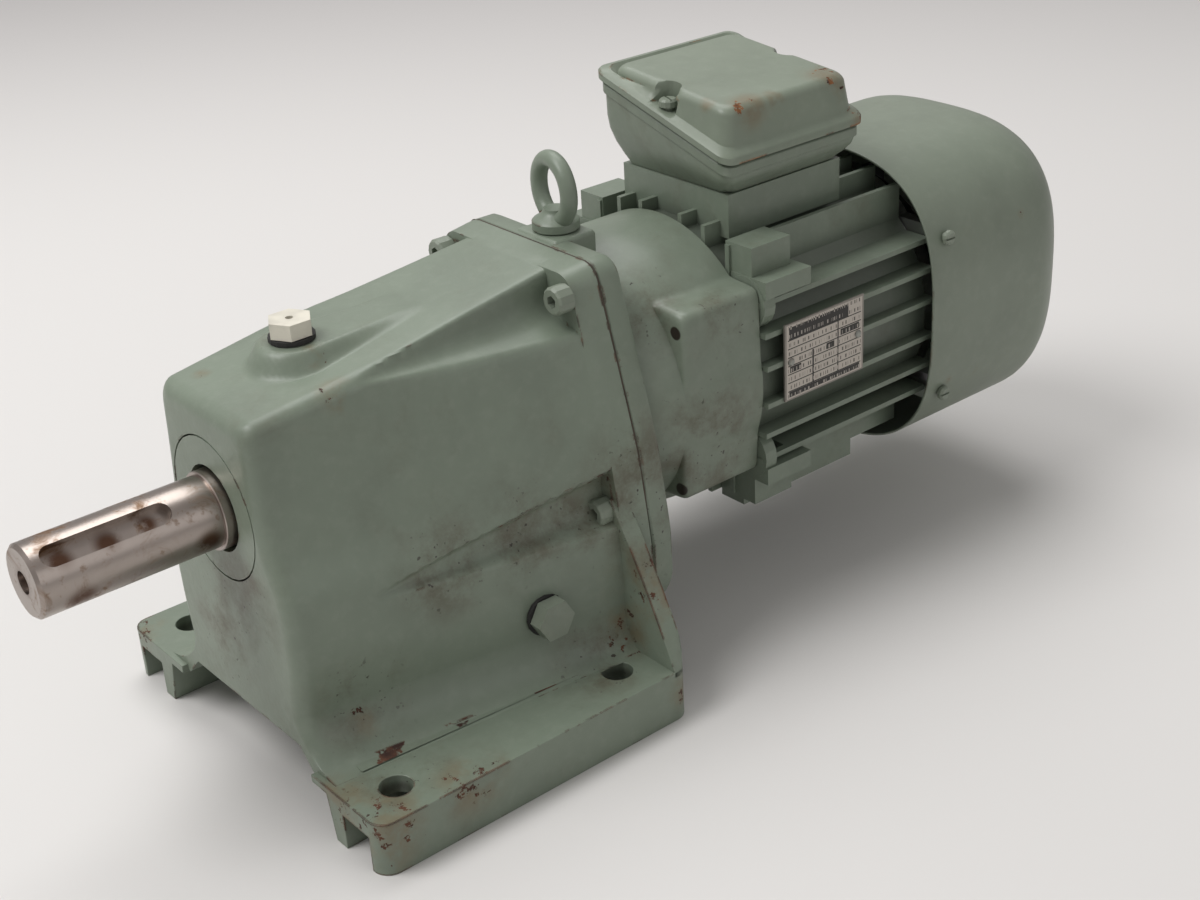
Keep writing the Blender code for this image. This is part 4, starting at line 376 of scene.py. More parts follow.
COPPER = metal("copper_winding", (0.5, 0.2, 0.09, 1), 0.1, 1.0, 0.0003)
CAST_ALUMINIUM = metal("cast_aluminium", (0.5, 0.5, 0.5, 1), 0.15, 0.2)
NAMEPLATE = plate_finish()
BLACK_RUBBER = moulded("black_rubber", (0.022, 0.021, 0.02, 1), 0.7)
GASKET_PAPER = moulded("gasket_paper", (0.07, 0.055, 0.04, 1), 0.85)
WHITE_PLASTIC = moulded("white_plastic", (0.72, 0.68, 0.58, 1), 0.42)
BLACK_PLASTIC = moulded("black_plastic", (0.03, 0.03, 0.03, 1), 0.5)

FINISHES = {
    HOUSING_PAINT: ["gear_housing", "rear_flange", "front_cover_ring", "eye_bolt"],
    MOTOR_PAINT: ["motor_adapter", "terminal_box_base"],
    FRAME_PAINT_AND_GAP_SHADE: ["motor_frame"],
    SCREW_PAINT: ["drain_plug", "housing_screw", "cowl_screw", "cover_screw"],
    SHEET_PAINT: ["fan_cowl"],
    COVER_PAINT: ["terminal_box_cover"],
    SHAFT_STEEL: ["output_shaft", "rotor_shaft", "output_gear_key", "input_gear_key"],
    GEAR_STEEL: ["output_gear", "lay_shaft", "input_gear", "motor_pinion"],
    BEARING_STEEL: ["bearing"],
    ZINC: ["adapter_screw", "plate_rivet"],
    NAMEPLATE: ["nameplate"],
    LAMINATION: ["stator_core", "rotor_core"],
    COPPER: ["stator_winding"],
    CAST_ALUMINIUM: ["end_shield"],
    BLACK_RUBBER: ["seal", "breather_plug_washer", "drain_plug_washer"],
    GASKET_PAPER: ["housing_gasket"],
    WHITE_PLASTIC: ["breather_plug"],
    BLACK_PLASTIC: ["cooling_fan", "terminal_board", "cable_gland"],
}


def finish_nodes():
    """Gives every node of the frame its finish: a full name first, else the words in its name."""
    for name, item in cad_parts.items():
        exact = [shade for shade, words in FINISHES.items() if name in words]
        loose = [shade for shade, words in FINISHES.items() if any(word in name for word in words)]
        shade = (exact or loose[::-1])[0]
        item.data.materials.clear()
        item.data.materials.append(shade)


finish_nodes()


# Surfaces

# Points are in millimetres up to place(), which turns them into metres. SPINE is the height of the
# line towards which the housing is drawn in, and the screw land starts LAND_START behind its face.

SPINE = 45.0
HOUSING_LENGTH = 172.0
LAND_START = 158.0
FRONT_ROUND = 7.0
ROOF = (177.5, 200.0)
WAIST = 47.0
# The wall's knots: height, and half width at the face and at the rear end.
WALL_KNOTS = ((125, 40.5, 67), (99, 50, 72), (72, 50.5, 76), (WAIST, 47.5, 77))
BOSS_X = 47.0
BOSS_TAIL = 64.0
BOSS_TOP = 191.5
IRON_THICKNESS = 4.0
LEG_HALF = 107.0
FOOT_BACK = 165.0
PLAN_CORNER = 8.0
SHAFT_RADIUS = 16.0
SHAFT_PROJECTION = 84.0
KEYWAY_SETBACK = 5.0
KEYWAY_LENGTH = 56.0
KEYWAY_HALF = 5.0
KEYWAY_DEPTH = 5.0
KEYWAY_TURN = math.radians(38)
COWL_HALF = 78.5
COWL_BEND = 33.0
COWL_LENGTH = 116.0
EYE_X = -7.1
EYE_HEIGHT = 219.5
# The bell's lugs: side, up or down, and how far they reach across and up from the motor's axis.
LUGS = ((1, 1, 68, 50), (-1, 1, 68, 50), (1, -1, 65.5, 47), (-1, -1, 65.5, 47))
LUG_START = 18.0
BELL_START = X0 + 185.9
COWL_START = X0 + 358.2
BOX_X = X0 + 297.2
BOX_BOTTOM = 206.0


def ramp(value):
    """Smoothly from 0 to 1, level at both ends."""
    value = np.clip(value, 0, 1)
    return value * value * (3 - 2 * value)


def tube(rings, loop=False, ends=True):
    """Quads between rings of points; closed by flat ends, or joined from the last ring to the first."""
    rings = np.asarray(rings, float)
    rows, columns = rings.shape[:2]
    i, j = np.meshgrid(np.arange(rows if loop else rows - 1), np.arange(columns), indexing="ij")
    down, right = (i + 1) % rows * columns, (j + 1) % columns
    quads = np.stack([i * columns + j, down + j, down + right, i * columns + right], -1).reshape(-1, 4)
    last = (rows - 1) * columns
    caps = [] if loop or not ends else [list(range(columns)), list(range(last, last + columns))]
    return rings.reshape(-1, 3), quads, caps


def turned(profile, centre, steps=72, axis=0):
    """A profile of (distance along, radius) carried round the X, Y or Z axis through a centre."""
    profile = np.asarray(profile, float)
    around = np.linspace(0, 2 * PI, steps, endpoint=False)
    along = np.repeat(profile[:, :1], steps, 1)
    one, two = profile[:, 1:] * np.cos(around), profile[:, 1:] * np.sin(around)
    order = [(along, one, two), (one, along, two), (two, one, along)][axis]
    return tube(np.stack(order, -1) + np.asarray(centre, float))


def rounded_box(low, high, radius, steps=8):
    """A ball pulled apart to the corners of a box, so that its edges and corners are round."""
    low, high = np.asarray(low, float), np.asarray(high, float)
    across = (np.arange(4 * steps) + 0.5) * PI / (2 * steps)
    down = (np.arange(2 * steps) + 0.5) * PI / (2 * steps)
    a, d = np.meshgrid(across, down)
    normal = np.stack([np.sin(d) * np.cos(a), np.sin(d) * np.sin(a), np.cos(d)], -1)
    return tube((low + high) / 2 + np.sign(normal) * ((high - low) / 2 - radius) + normal * radius)


def pierced(loop, circles, level, axes):
    """A flat face inside a loop of 2-D points with round holes; axes says where the level goes."""
    points, edges = [np.asarray(loop, float)], []
    start = len(loop)
    edges += [(k, (k + 1) % start) for k in range(start)]
    around = np.linspace(0, 2 * PI, 48, endpoint=False)
    for u, v, radius in circles:
        points.append(np.stack([u + radius * np.cos(around), v + radius * np.sin(around)], -1))
        edges += [(start + k, start + (k + 1) % 48) for k in range(48)]
        start += 48
    found = delaunay_2d_cdt([Vector(p) for p in np.concatenate(points)], edges, [], 1, 1e-6)
    flat = np.array([tuple(p) for p in found[0]])
    faces = np.array(found[2])
    middle = flat[faces].mean(1)
    keep = np.ones(len(faces), bool)
    for u, v, radius in circles:
        keep &= np.hypot(middle[:, 0] - u, middle[:, 1] - v) > radius
    placed = np.insert(flat, axes, level, axis=1)
    return placed, np.zeros((0, 4), int), faces[keep].tolist()


def place(name, parts, shade, nodes=(), body="base", angle=35, bevel=0.0, sheet=0.0):
    """One object from parts, smooth except at sharper edges; it rides on a body in place of CAD nodes."""
    points, faces, start = [], [], 0
    for part, quads, caps in parts:
        points.append(part)
        faces += (quads + start).tolist() + [(np.array(cap) + start).tolist() for cap in caps]
        start += len(part)
    mesh = bpy.data.meshes.new(name)
    mesh.from_pydata((np.concatenate(points) * MM).tolist(), [], faces)
    form = bmesh.new()
    form.from_mesh(mesh)
    bmesh.ops.remove_doubles(form, verts=form.verts, dist=3e-6)
    bmesh.ops.recalc_face_normals(form, faces=form.faces)
    form.to_mesh(mesh)
    form.free()
    mesh.polygons.foreach_set("use_smooth", np.ones(len(mesh.polygons), bool))
    mesh.set_sharp_from_angle(angle=math.radians(angle))
    mesh.materials.append(shade)
    item = bpy.data.objects.new(name, mesh)
    bpy.context.scene.collection.objects.link(item)
    if sheet:
        solid = item.modifiers.new("sheet", "SOLIDIFY")
        solid.thickness, solid.offset = sheet * MM, -1
    if bevel:
        edge = item.modifiers.new("edge", "BEVEL")
        edge.width, edge.segments, edge.angle_limit = bevel * MM, 2, math.radians(40)
    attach(item, body)
    if nodes:
        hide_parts(*nodes)
    return item


def curve_weights(knots, steps):
    """Weights that carry a smooth curve through a row of knots, up to but without the last one."""
    t = np.arange(steps) / steps
    share = np.stack([-t + 2 * t**2 - t**3, 2 - 5 * t**2 + 3 * t**3,
                      t + 4 * t**2 - 3 * t**3, t**3 - t**2], -1) / 2
    weights = np.zeros(((knots - 1) * steps, knots))
    for k in range(knots - 1):
        for n in range(4):
            weights[k * steps:(k + 1) * steps, min(max(k + n - 1, 0), knots - 1)] += share[:, n]
    return weights


def mirrored(y, z):
    """The whole outline from its half, which starts and ends on the middle."""
    return np.concatenate([y, -y[..., -2:0:-1]], -1), np.concatenate([z, z[..., -2:0:-1]], -1)


def upper_half(share):
    """Roof line, round corner and leaning wall of the housing, down to its waist.

    Every size grows evenly from the face, where the share is 0, to the rear end, where it is 1.
    """
    share = np.asarray(share, float)[:, None]
    roof, wide, corner = (a + (b - a) * share for a, b in (ROOF, (36.5, 48), (6, 10)))
    t, a = np.linspace(0, 1, 52, endpoint=False), np.radians(np.linspace(0, 80, 9, endpoint=False))
    y = [t * (wide - corner), wide - corner + corner * np.sin(a)]
    z = [roof + 0 * t, roof - corner + corner * np.cos(a)]
    end = math.radians(80)
    knots_y = np.concatenate([wide - corner * (1 - math.sin(end))]
                             + [a + (b - a) * share for _, a, b in WALL_KNOTS], 1)
    knots_z = np.concatenate([roof - corner * (1 - math.cos(end))]
                             + [h + 0 * share for h, _, _ in WALL_KNOTS], 1)
    weights = curve_weights(1 + len(WALL_KNOTS), 20)
    return np.concatenate(y + [knots_y @ weights.T], 1), np.concatenate(z + [knots_z @ weights.T], 1)


def scooped(y, z, x, start, first, last, radius, softness):
    """Draws the outline in, along rays from the spine, to a cone that widens from start to the screw land."""
    share = np.clip((x - start) / (LAND_START - start), 0, 1)[:, None]
    r = radius * share**0.75
    cy, cz = first[0] + (last[0] - first[0]) * share, first[1] + (last[1] - first[1]) * share - SPINE
    far = np.hypot(y, z - SPINE)
    uy, uz = np.abs(y) / far, (z - SPINE) / far
    along = cy * uy + cz * uz
    miss = np.sqrt(np.maximum(cy**2 + cz**2 - along**2, 0))
    hit = along - np.sqrt(np.maximum(r**2 - miss**2, 0)) + 4 * np.maximum(miss - r, 0)
    soft = np.minimum(softness, 0.5 * r + 1e-6)
    near = 0.5 * (far + hit - np.sqrt((far - hit)**2 + soft**2))
    scale = np.where((share > 0) & (x[:, None] < LAND_START), near / far, 1)
    return y * scale, SPINE + (z - SPINE) * scale


def troughed(y, z, x, start, low, high, half, depth):
    """Presses a trough into the wall: across it, the depth falls off with the cube of the height."""
    share = np.clip((x - start) / (LAND_START - start), 0, 1)[:, None]
    off = np.abs(z - low - (high - low) * share) / (half * share**0.7 + 1e-6)
    full = np.clip(1 - off**3, 0, 1)
    full = full * full / (full + 0.06)
    return y - np.where((y > 30) & (x[:, None] < LAND_START), depth * share**0.8 * full, 0)


def housing_rings():
    """Sections of the housing at distances behind its face, with rounded front, boss and scoops."""
    x = np.concatenate([FRONT_ROUND * (1 - np.cos(np.linspace(0, PI / 2, 8))),
                        np.linspace(8.5, LAND_START - 0.1, 96),
                        [LAND_START + 0.1, 165, HOUSING_LENGTH]])
    share = x / HOUSING_LENGTH
    y, z = upper_half(share)
    column = share[:, None]
    left = 1 - np.minimum(x, FRONT_ROUND) / FRONT_ROUND
    inset = FRONT_ROUND * (1 - np.sqrt(np.clip(1 - left**2, 0, 1)))[:, None]
    a = np.radians(np.linspace(0, 90, 16))
    narrow, broad = WALL_KNOTS[-1][1:]
    flare_y = narrow + (broad - narrow) * column + (26 - 17 * column) * (1 - np.cos(a))
    flare_z = WAIST - 21.35 * np.sin(a) + 0 * column
    y, z = np.concatenate([y, flare_y], 1), np.concatenate([z, flare_z], 1)
    side = np.minimum(1, y / (30.5 + 7.5 * column))
    y = y - inset * side * np.clip((z - FOOT_TOP) / (WAIST - FOOT_TOP), 0, 1)
    z = z - inset * np.clip((z - 140) / 30, 0, 1)
    # A level boss round the breather plug runs out to a narrow tail towards the rear.
    tail = np.clip((x - BOSS_X) / BOSS_TAIL, 0, 1)[:, None]
    outside = np.hypot(x[:, None] - BOSS_X - BOSS_TAIL * tail, y) - (15 - 8 * tail)
    roof = ROOF[0] + (ROOF[1] - ROOF[0]) * column
    lift = np.maximum(0, BOSS_TOP - roof) * (1 - ramp((outside + 1.0) / 7.5))
    z = z + np.where(z > roof - 3, lift, 0)
    y, z = scooped(y, z, x, start=46, first=(39.6, 183.5), last=(47, 192), radius=17, softness=4.5)
    y = troughed(y, z, x, start=38, low=94, high=100, half=13.6, depth=10.8)
    arch = np.repeat([[54, 44, *np.linspace(44, 0, 11)[1:]]], len(x), 0)
    arch_z = np.repeat([[22.8, 33, *[33] * 10]], len(x), 0)
    y, z = mirrored(np.concatenate([y, arch], 1), np.concatenate([z, arch_z], 1))
    return np.stack([np.repeat((X0 + x)[:, None], y.shape[1], 1), y, z], -1), x


def housing():
    """A shell of cast iron: the outside, an inner skin 4 mm in, and a seat for the cover ring."""
    outside, x = housing_rings()
    far = np.hypot(outside[..., 1], outside[..., 2] - SPINE)[..., None]
    middle = outside * (1, 0, 0) + (0, 0, SPINE)
    inside = (middle + (outside - middle) * (1 - IRON_THICKNESS / far))[x > 12]
    parts = [tube(np.concatenate([outside, inside[::-1]]), ends=False)]
    seat, throat = 32.7, 26.0
    parts.append(pierced(outside[0, :, 1:], [(0, SHAFT_AXIS, seat)], X0, 0))
    parts.append(pierced(inside[0, :, 1:], [(0, SHAFT_AXIS, throat)], inside[0, 0, 0], 0))
    depth = X0 + 6.6
    # The bore's wall steps in behind the ring's seat.
    bore = turned([(X0, seat), (depth, seat), (depth, throat), (inside[0, 0, 0], throat)],
                  (0, 0, SHAFT_AXIS), 48)
    parts.append((bore[0], bore[1], []))
    return parts


def foot_edge(depth):
    """How far the foot reaches from the middle, at a depth behind its front or rear end."""
    short = PLAN_CORNER - np.minimum(PLAN_CORNER, depth)
    return LEG_HALF - PLAN_CORNER + np.sqrt(np.clip(PLAN_CORNER**2 - short**2, 0, None))


def foot_side(side):
    """Half of the foot: a section with a slot and a leg carried along X, its corners rounded in plan."""
    corner = PLAN_CORNER * (1 - np.cos(np.linspace(0, PI / 2, 7)))
    x = np.concatenate([-3 + corner, np.linspace(10, 152, 12), FOOT_BACK - corner[::-1]])
    edge = foot_edge(np.minimum(x + 3, FOOT_BACK - x))
    section = np.array([(56, FOOT_TOP), (LEG_HALF, FOOT_TOP), (LEG_HALF, 0), (98, 0), (98, 17),
                        (79, 17), (79, 0), (71, 0), (67, 22), (56, 22)], float)
    y = np.minimum(section[:, 0], edge[:, None])
    ring = np.stack([np.repeat((X0 + x)[:, None], 10, 1), side * y,
                     np.repeat(section[None, :, 1], len(x), 0)], -1)
    points, quads, caps = tube(ring)
    left = np.isin(quads[:, 0] % 10, (0, 4), invert=True)
    holes = [(x, side * FOOT_HOLE_Y, 7.25) for x in FOOT_HOLE_X]
    parts = [(points, quads[left], caps)]
    for level, a, b in ((FOOT_TOP, 0, 1), (17, 4, 5)):
        loop = np.concatenate([ring[:, a, :2], ring[::-1, b, :2]])
        parts.append(pierced(loop, holes, level, 2))
    for hx, hy, radius in holes:
        wall = turned([(17, radius), (FOOT_TOP, radius)], (hx, hy, 0), 48, axis=2)
        parts.append((wall[0], wall[1], []))
    return parts


def rib_side(side):
    """The rear rib: a bowed slope from the wall down to the foot's edge, 9 mm thick."""
    t = np.linspace(0, 1, 14)
    y = np.concatenate([[66, LEG_HALF], LEG_HALF - 39.8 * t])
    z = np.concatenate([[22.8, 22.8], FOOT_TOP + 73.2 * t * (1.2 - 0.2 * t)])
    x = np.concatenate([[156], FOOT_BACK - PLAN_CORNER * (1 - np.cos(np.linspace(PI / 2, 0, 7)))])
    edge = foot_edge(FOOT_BACK - x)
    return tube(np.stack([np.repeat((X0 + x)[:, None], len(y), 1), side * np.minimum(y, edge[:, None]),
                          np.repeat(z[None], len(x), 0)], -1))


def flange():
    """The joint plate: the housing's outline with round lower corners, bored for the motor's shaft."""
    y, z = upper_half([1.0])
    y, z = y[0, :-20], z[0, :-20]
    a = np.radians(np.linspace(0, 90, 12))
    y = np.concatenate([y, 54 + 22 * np.cos(a), np.linspace(50, 0, 10)])
    z = np.concatenate([z, 55 - 22 * np.sin(a), np.full(10, 33.0)])
    y, z = mirrored(y, z)
    angle = np.arctan2(z - MOTOR_AXIS, y)
    rings = []
    for x, inset in ((173.1, 0.8), (173.9, 0), (182.6, 0), (184.6, 0.9), (185.6, 2.8)):
        scale = 1 - inset / 75
        rings.append(np.stack([X0 + x + 0 * y, y * scale, MOTOR_AXIS - 6 + (z - MOTOR_AXIS + 6) * scale], -1))
    for x in (185.6, 173.1):
        rings.append(np.stack([X0 + x + 0 * y, 17.4 * np.cos(angle), MOTOR_AXIS + 17.4 * np.sin(angle)], -1))
    return [tube(rings, loop=True), rounded_box((-20, -15, 189), (4.5, 15, 201), 2.5)]


def bell():
    """The motor's bell: a flaring drum swollen by four lugs, each the corner of a box with flat sides."""
    around = np.linspace(0, 2 * PI, 288, endpoint=False)
    x = np.concatenate([np.linspace(0, LUG_START - 0.1, 12), LUG_START + np.array([0, 0.3, 1, 2, 3.5]),
                        np.linspace(24, 62.5, 18), [63.6, 64]])
    drum = 61 + 8.5 * np.sin(PI / 2 * np.minimum(1, x / 40)) - 0.8 * (x > 63.8)
    radius = np.repeat(drum[:, None], 288, 1)
    soft = np.clip(x - LUG_START, 0, 3.5)[:, None] / 3.5
    inset = 3.5 * (1 - np.sqrt(1 - (1 - soft)**2))
    for side, up, wide, high in LUGS:
        c, s = side * np.cos(around), up * np.sin(around)
        flank = (wide - inset) / np.maximum(c, 0.01)
        top = (high - inset) / np.maximum(s, 0.01)
        lug = 0.5 * (flank + top - np.sqrt((flank - top)**2 + 36)) - 3 * np.clip(1 - s / 0.25, 0, 1)
        grown = 0.5 * (radius + lug + np.sqrt((radius - lug)**2 + 9)) - 1.2
        present = (x[:, None] >= LUG_START) & (c > 0) & (s > 0)
        radius = np.where(present, np.maximum(grown, radius), radius)
    inner = [(64, 20.3), (51, 20.3), (51, 11.5), (48, 11.5), (48, 55), (0, 55)]
    x = np.concatenate([x, [p[0] for p in inner]])
    radius = np.concatenate([radius, np.repeat([[p[1]] for p in inner], 288, 1)])
    rings = np.stack([BELL_START + np.repeat(x[:, None], 288, 1), radius * np.cos(around),
                      MOTOR_AXIS + radius * np.sin(around)], -1)
    return [tube(rings, loop=True)]


def cowl():
    """A pressed hood: rounded squares that turn over a wide bend into a back with rings of slots."""
    count = 144
    around = np.linspace(0, 2 * PI, count, endpoint=False)
    a = np.linspace(0, PI / 2, 14)
    x = np.concatenate([[0, 0.6], np.linspace(12, 76, 6), COWL_LENGTH - COWL_BEND * (1 - np.sin(a)),
                        [COWL_LENGTH] * 6])
    half = np.concatenate([[COWL_HALF] * 8, COWL_HALF - COWL_BEND * (1 - np.cos(a)),
                           [33, 27, 19, 13, 6, 1.5]])
    power = np.where(half < 40, 1.0, 2 / 2.9)[:, None]
    c, s = np.cos(around), np.sin(around)
    y = half[:, None] * np.sign(c) * np.abs(c)**power
    z = MOTOR_AXIS + half[:, None] * np.sign(s) * np.abs(s)**power
    points, quads, caps = tube(np.stack([COWL_START + np.repeat(x[:, None], count, 1), y, z], -1))
    row, spoke = quads[:, 0] // count, quads[:, 0] % count % (count // 4)
    slots = (((row == 22) & (spoke > 1) & (spoke < 34)) | ((row == 24) & (spoke > 3) & (spoke < 32)))
    return [(points, quads[~slots], caps[1:])]


def box_ring(half_x, near, far, corner, height, notch=False):
    """A rounded rectangle round the terminal box's middle, its height changing evenly across."""
    a, t = np.linspace(0, PI / 2, 7), np.linspace(0, 1, 42)[1:-1, None]
    right, back, front = half_x - corner, far - corner, near + corner
    arcs = [np.stack([cx + corner * np.cos(a + k * PI / 2), cy + corner * np.sin(a + k * PI / 2)], -1)
            for k, (cx, cy) in enumerate([(right, back), (-right, back), (-right, front), (right, front)])]
    sides = [arc[-1] + (after[0] - arc[-1]) * t for arc, after in zip(arcs, arcs[1:] + arcs[:1])]
    x, y = np.concatenate([part for pair in zip(arcs, sides) for part in pair]).T
    z = height[0] + (height[1] - height[0]) * (y + 46) / 92
    if notch:
        limit = 39 - np.sqrt(np.maximum(6.6**2 - y**2, 0))
        x = np.where((np.abs(y) < 6.6), np.clip(x, -limit, limit), x)
    return np.stack([BOX_X + x, y, z], -1)


def lifted(pair, rise):
    """A pair of heights, near and far, both raised."""
    return pair[0] + rise, pair[1] + rise


def between(low, high, share):
    """A pair of heights part of the way from one pair to another."""
    return tuple(a + (b - a) * share for a, b in zip(low, high))


def box_base():
    """The cast base: it flares from the frame's pad to an edge under the slanted rim."""
    rim, level = (221.5, 248.0), (BOX_BOTTOM + 0.3, BOX_BOTTOM + 0.3)
    rings = [box_ring(36, -36, 36, 6, level)]
    for t in (0.12, 0.28, 0.45, 0.6):
        half = 36 + 7.5 * math.sin(PI / 2 * t / 0.62)
        rings.append(box_ring(half, -half, half, 6, between(level, rim, t)))
    rings += [box_ring(43.6, -43.6, 43.6, 6, lifted(rim, -5.4)),
             box_ring(44.5, -44.5, 44.5, 6, lifted(rim, -4.6)),
             box_ring(44.5, -44.5, 44.5, 6, lifted(rim, -0.5)), box_ring(44, -44, 44, 6, rim),
             box_ring(33.5, -33.5, 33.5, 6, rim), box_ring(33, -33, 33, 6, lifted(level, 3))]
    return [tube(rings), turned([(35, 11), (44, 11), (45, 10)], (BOX_X, 0, 223.3), 32, axis=1)]


def box_cover():
    """The cover: a lip on the slanted seal, and walls drawn up to a level top with soft edges."""
    seat, top = (223.3, 249.8), (247.0, 256.0)
    rings = [box_ring(46, -46, 46, 6.5, seat), box_ring(46, -46, 46, 6.5, lifted(seat, 3)),
             box_ring(45.2, -45.2, 45.2, 6, lifted(seat, 4)),
             box_ring(43.2, -43.2, 43.2, 6, lifted(seat, 4.6), True),
             box_ring(41.8, -42, 41.5, 6, lifted(seat, 5.6), True)]
    bend = np.radians(np.linspace(0, 90, 7))
    for c, s in zip(4.5 * (1 - np.cos(bend)), 4.5 * (1 - np.sin(bend))):
        rings.append(box_ring(40 - c, -40.4 + c, 38.5 - c, 6, lifted(top, -s), True))
    return [tube(rings)]


def output_shaft():
    """A round bar with a chamfered end, a centre hole and a keyway; the keyway's floor is drawn flat."""
    tip, radius = X0 - SHAFT_PROJECTION, SHAFT_RADIUS
    start, end = tip + KEYWAY_SETBACK, tip + KEYWAY_SETBACK + KEYWAY_LENGTH
    key = np.concatenate([start + KEYWAY_HALF * (1 - np.cos(np.linspace(0, PI / 2, 9))), [(start + end) / 2],
                          end - KEYWAY_HALF * (1 - np.cos(np.linspace(PI / 2, 0, 9)))])
    ends = [(X0 - 4, 16), (X0 - 4, 17.1), (X0 - 3.6, 17.5), (X0 + 77, 17.5), (X0 + 77, 20), (X0 + 111.6, 20)]
    x = np.concatenate([[tip + 9, tip + 7, tip, tip, tip + 1.5, start - 0.5], key, [end + 0.5],
                        [p[0] for p in ends]])
    size = np.concatenate([[0.4, 4.2, 5, 14.5, 16, 16], np.full(20, radius), [p[1] for p in ends]])
    wide = np.zeros(len(x))
    short = KEYWAY_HALF - np.minimum(KEYWAY_HALF, np.minimum(key - start, end - key))
    wide[6:25] = np.sqrt(np.clip(KEYWAY_HALF**2 - short**2, 0, None))
    edge = np.arcsin(wide / np.maximum(size, 1))[:, None]
    t = np.linspace(0, 1, 72)
    angle = edge + (2 * PI - 2 * edge) * t
    y, z = size[:, None] * np.sin(angle), size[:, None] * np.cos(angle)
    u = np.linspace(-1, 1, 9)
    floor = np.where(wide > 0.5, radius - KEYWAY_DEPTH, size)[:, None]
    y = np.concatenate([y, wide[:, None] * u], 1)
    z = np.concatenate([z, floor + 0 * u], 1)
    c, s = math.cos(KEYWAY_TURN), math.sin(KEYWAY_TURN)
    y, z = -y * c - z * s, z * c - y * s
    return [tube(np.stack([np.repeat(x[:, None], y.shape[1], 1), y, SHAFT_AXIS + z], -1))]


def eye_bolt():
    """A round bar bent into a ring, on a collar that sweeps up to it."""
    a, b = np.meshgrid(np.linspace(0, 2 * PI, 72, endpoint=False), np.linspace(0, 2 * PI, 20, endpoint=False),
                       indexing="ij")
    wide = 14 + 4 * np.cos(b)
    across, up, out = wide * np.cos(a), wide * np.sin(a), 4 * np.sin(b)
    turn = math.radians(-10)
    ring = np.stack([EYE_X + out * math.cos(turn) - across * math.sin(turn),
                     out * math.sin(turn) + across * math.cos(turn), EYE_HEIGHT + up], -1)
    t = np.linspace(0, 1, 8)
    sweep = [(206.4 + 4.6 * s, 5.4 + 4.6 * (1 - s)**2) for s in t]
    collar = turned([(201.3, 10.4), (201.9, 11), (205.4, 11), (206.2, 10.3)] + sweep,
                    (EYE_X, 0, 0), 48, axis=2)
    return [tube(ring, loop=True), collar]


def build_pieces():
    """The new pieces, each with its finish, the node that it stands for and its body."""
    place("housing_shell", housing(), HOUSING_PAINT, ["gear_housing"], angle=42)
    foot = [part for side in (1, -1) for part in foot_side(side)]
    place("housing_foot", foot, HOUSING_PAINT, ["gear_housing"], angle=30, bevel=1.3)
    ribs = [rib_side(side) for side in (1, -1)]
    place("housing_ribs", ribs, HOUSING_PAINT, ["gear_housing"], bevel=1.2)
    place("joint_flange", flange(), HOUSING_PAINT, ["rear_flange"])
    place("motor_bell", bell(), MOTOR_PAINT, ["motor_adapter"])
    place("cowl_shell", cowl(), SHEET_PAINT, ["fan_cowl"], sheet=1.0)
    place("box_base", box_base(), MOTOR_PAINT, ["terminal_box_base"])
    place("box_cover", box_cover(), COVER_PAINT, ["terminal_box_cover"])
    place("drive_shaft", output_shaft(), SHAFT_STEEL, ["output_shaft"], "output")
    place("lifting_eye", eye_bolt(), HOUSING_PAINT, ["eye_bolt"])


build_pieces()


# Setting

LIGHTS = {
    "key": ((-1.3, 0.5, 2.1), 1.4, 35),
    "top": ((0.5, 0.9, 2.2), 1.8, 26),
    "fill": ((0.3, -2.3, 1.2), 1.8, 5),
}
FLOOR_HALF = 14.0
# The floor's two colours: the far one is painted shade, the floor darkening away from the camera.
FLOOR_NEAR_LIT = (0.68, 0.66, 0.645, 1)
FLOOR_FAR_SHADED = (0.5, 0.48, 0.475, 1)
ROOM_LIGHT = (0.36, 0.36, 0.355, 1)
ROOM_SEEN = (0.45, 0.43, 0.425, 1)


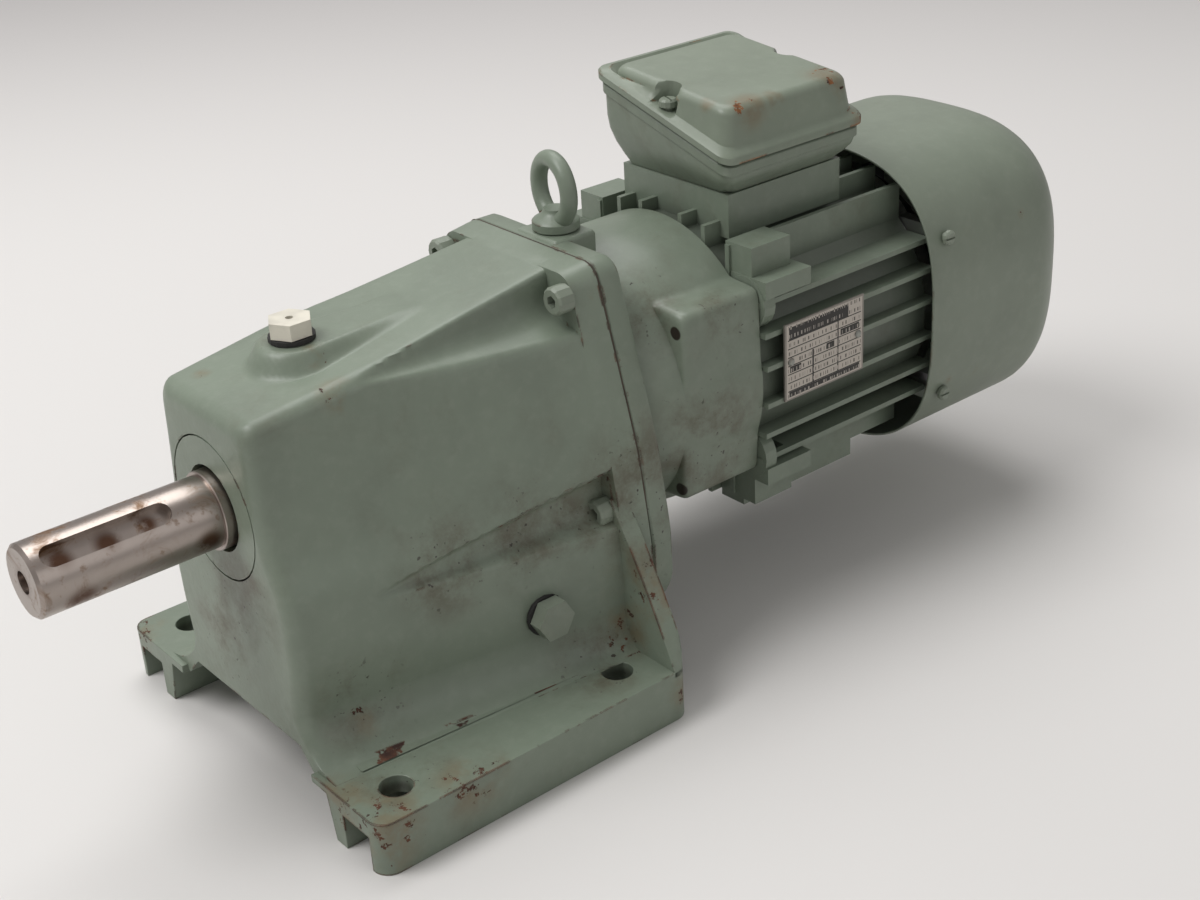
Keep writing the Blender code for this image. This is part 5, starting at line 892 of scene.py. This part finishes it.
def area_light(name, spot, size, power):
    """A round soft lamp that points at the middle of the motor."""
    lamp = bpy.data.lights.new(name, "AREA")
    lamp.shape = "DISK"
    lamp.size = size
    lamp.energy = power
    item = bpy.data.objects.new(name, lamp)
    bpy.context.scene.collection.objects.link(item)
    item.location = spot
    aim = Vector((0, 0, 0.1)) - item.location
    item.rotation_euler = aim.to_track_quat("-Z", "Y").to_euler()


def setting():
    """A pale floor, soft light from above on the shaft's side, and the photograph's camera."""
    half = FLOOR_HALF
    mesh = bpy.data.meshes.new("floor")
    mesh.from_pydata([(-half, -half, 0), (half, -half, 0), (half, half, 0), (-half, half, 0)],
                     [], [(0, 1, 2, 3)])
    floor = bpy.data.objects.new("floor", mesh)
    bpy.context.scene.collection.objects.link(floor)
    shade, t, bsdf = new_material("pale_floor", Roughness=0.75)
    place_of = t.add("SeparateXYZ", {0: t.add("TexCoord").outputs["Object"]})
    # Painted shade: the floor's colour darkens away from the camera.
    away = t.math("ADD", t.math("MULTIPLY", place_of.outputs["X"], 0.62),
                  t.math("MULTIPLY", place_of.outputs["Y"], 0.78))
    t.put(bsdf.inputs["Base Color"], t.mix(t.step(away, 0.5, 1.8), FLOOR_NEAR_LIT, FLOOR_FAR_SHADED))
    mesh.materials.append(shade)
    for name, (spot, size, power) in LIGHTS.items():
        area_light(name, spot, size, power)
    world = bpy.data.worlds.new("studio")
    bpy.context.scene.world = world
    world.use_nodes = True
    t = Tree(world.node_tree)
    background = world.node_tree.nodes["Background"]
    path = t.add("LightPath")
    seen = t.math("MAXIMUM", path.outputs["Is Camera Ray"], path.outputs["Is Glossy Ray"])
    t.put(background.inputs["Color"], t.mix(seen, ROOM_LIGHT, ROOM_SEEN))
    bpy.context.scene.view_settings.view_transform = "Standard"

    camera = bpy.data.cameras.new("camera")
    camera.sensor_width = 36
    camera.lens = 54.6
    camera.clip_start = 0.01
    eye = bpy.data.objects.new("camera", camera)
    bpy.context.scene.collection.objects.link(eye)
    # The camera's right, up and back directions, fitted to points of the photograph, and its place.
    eye.matrix_world = Matrix(((0.7658, 0.3283, -0.5530, FACE_X - 0.2867),
                               (-0.6409, 0.3191, -0.6981, -0.6215),
                               (-0.0527, 0.8890, 0.4548, 0.4861), (0, 0, 0, 1)))
    bpy.context.scene.camera = eye


setting()
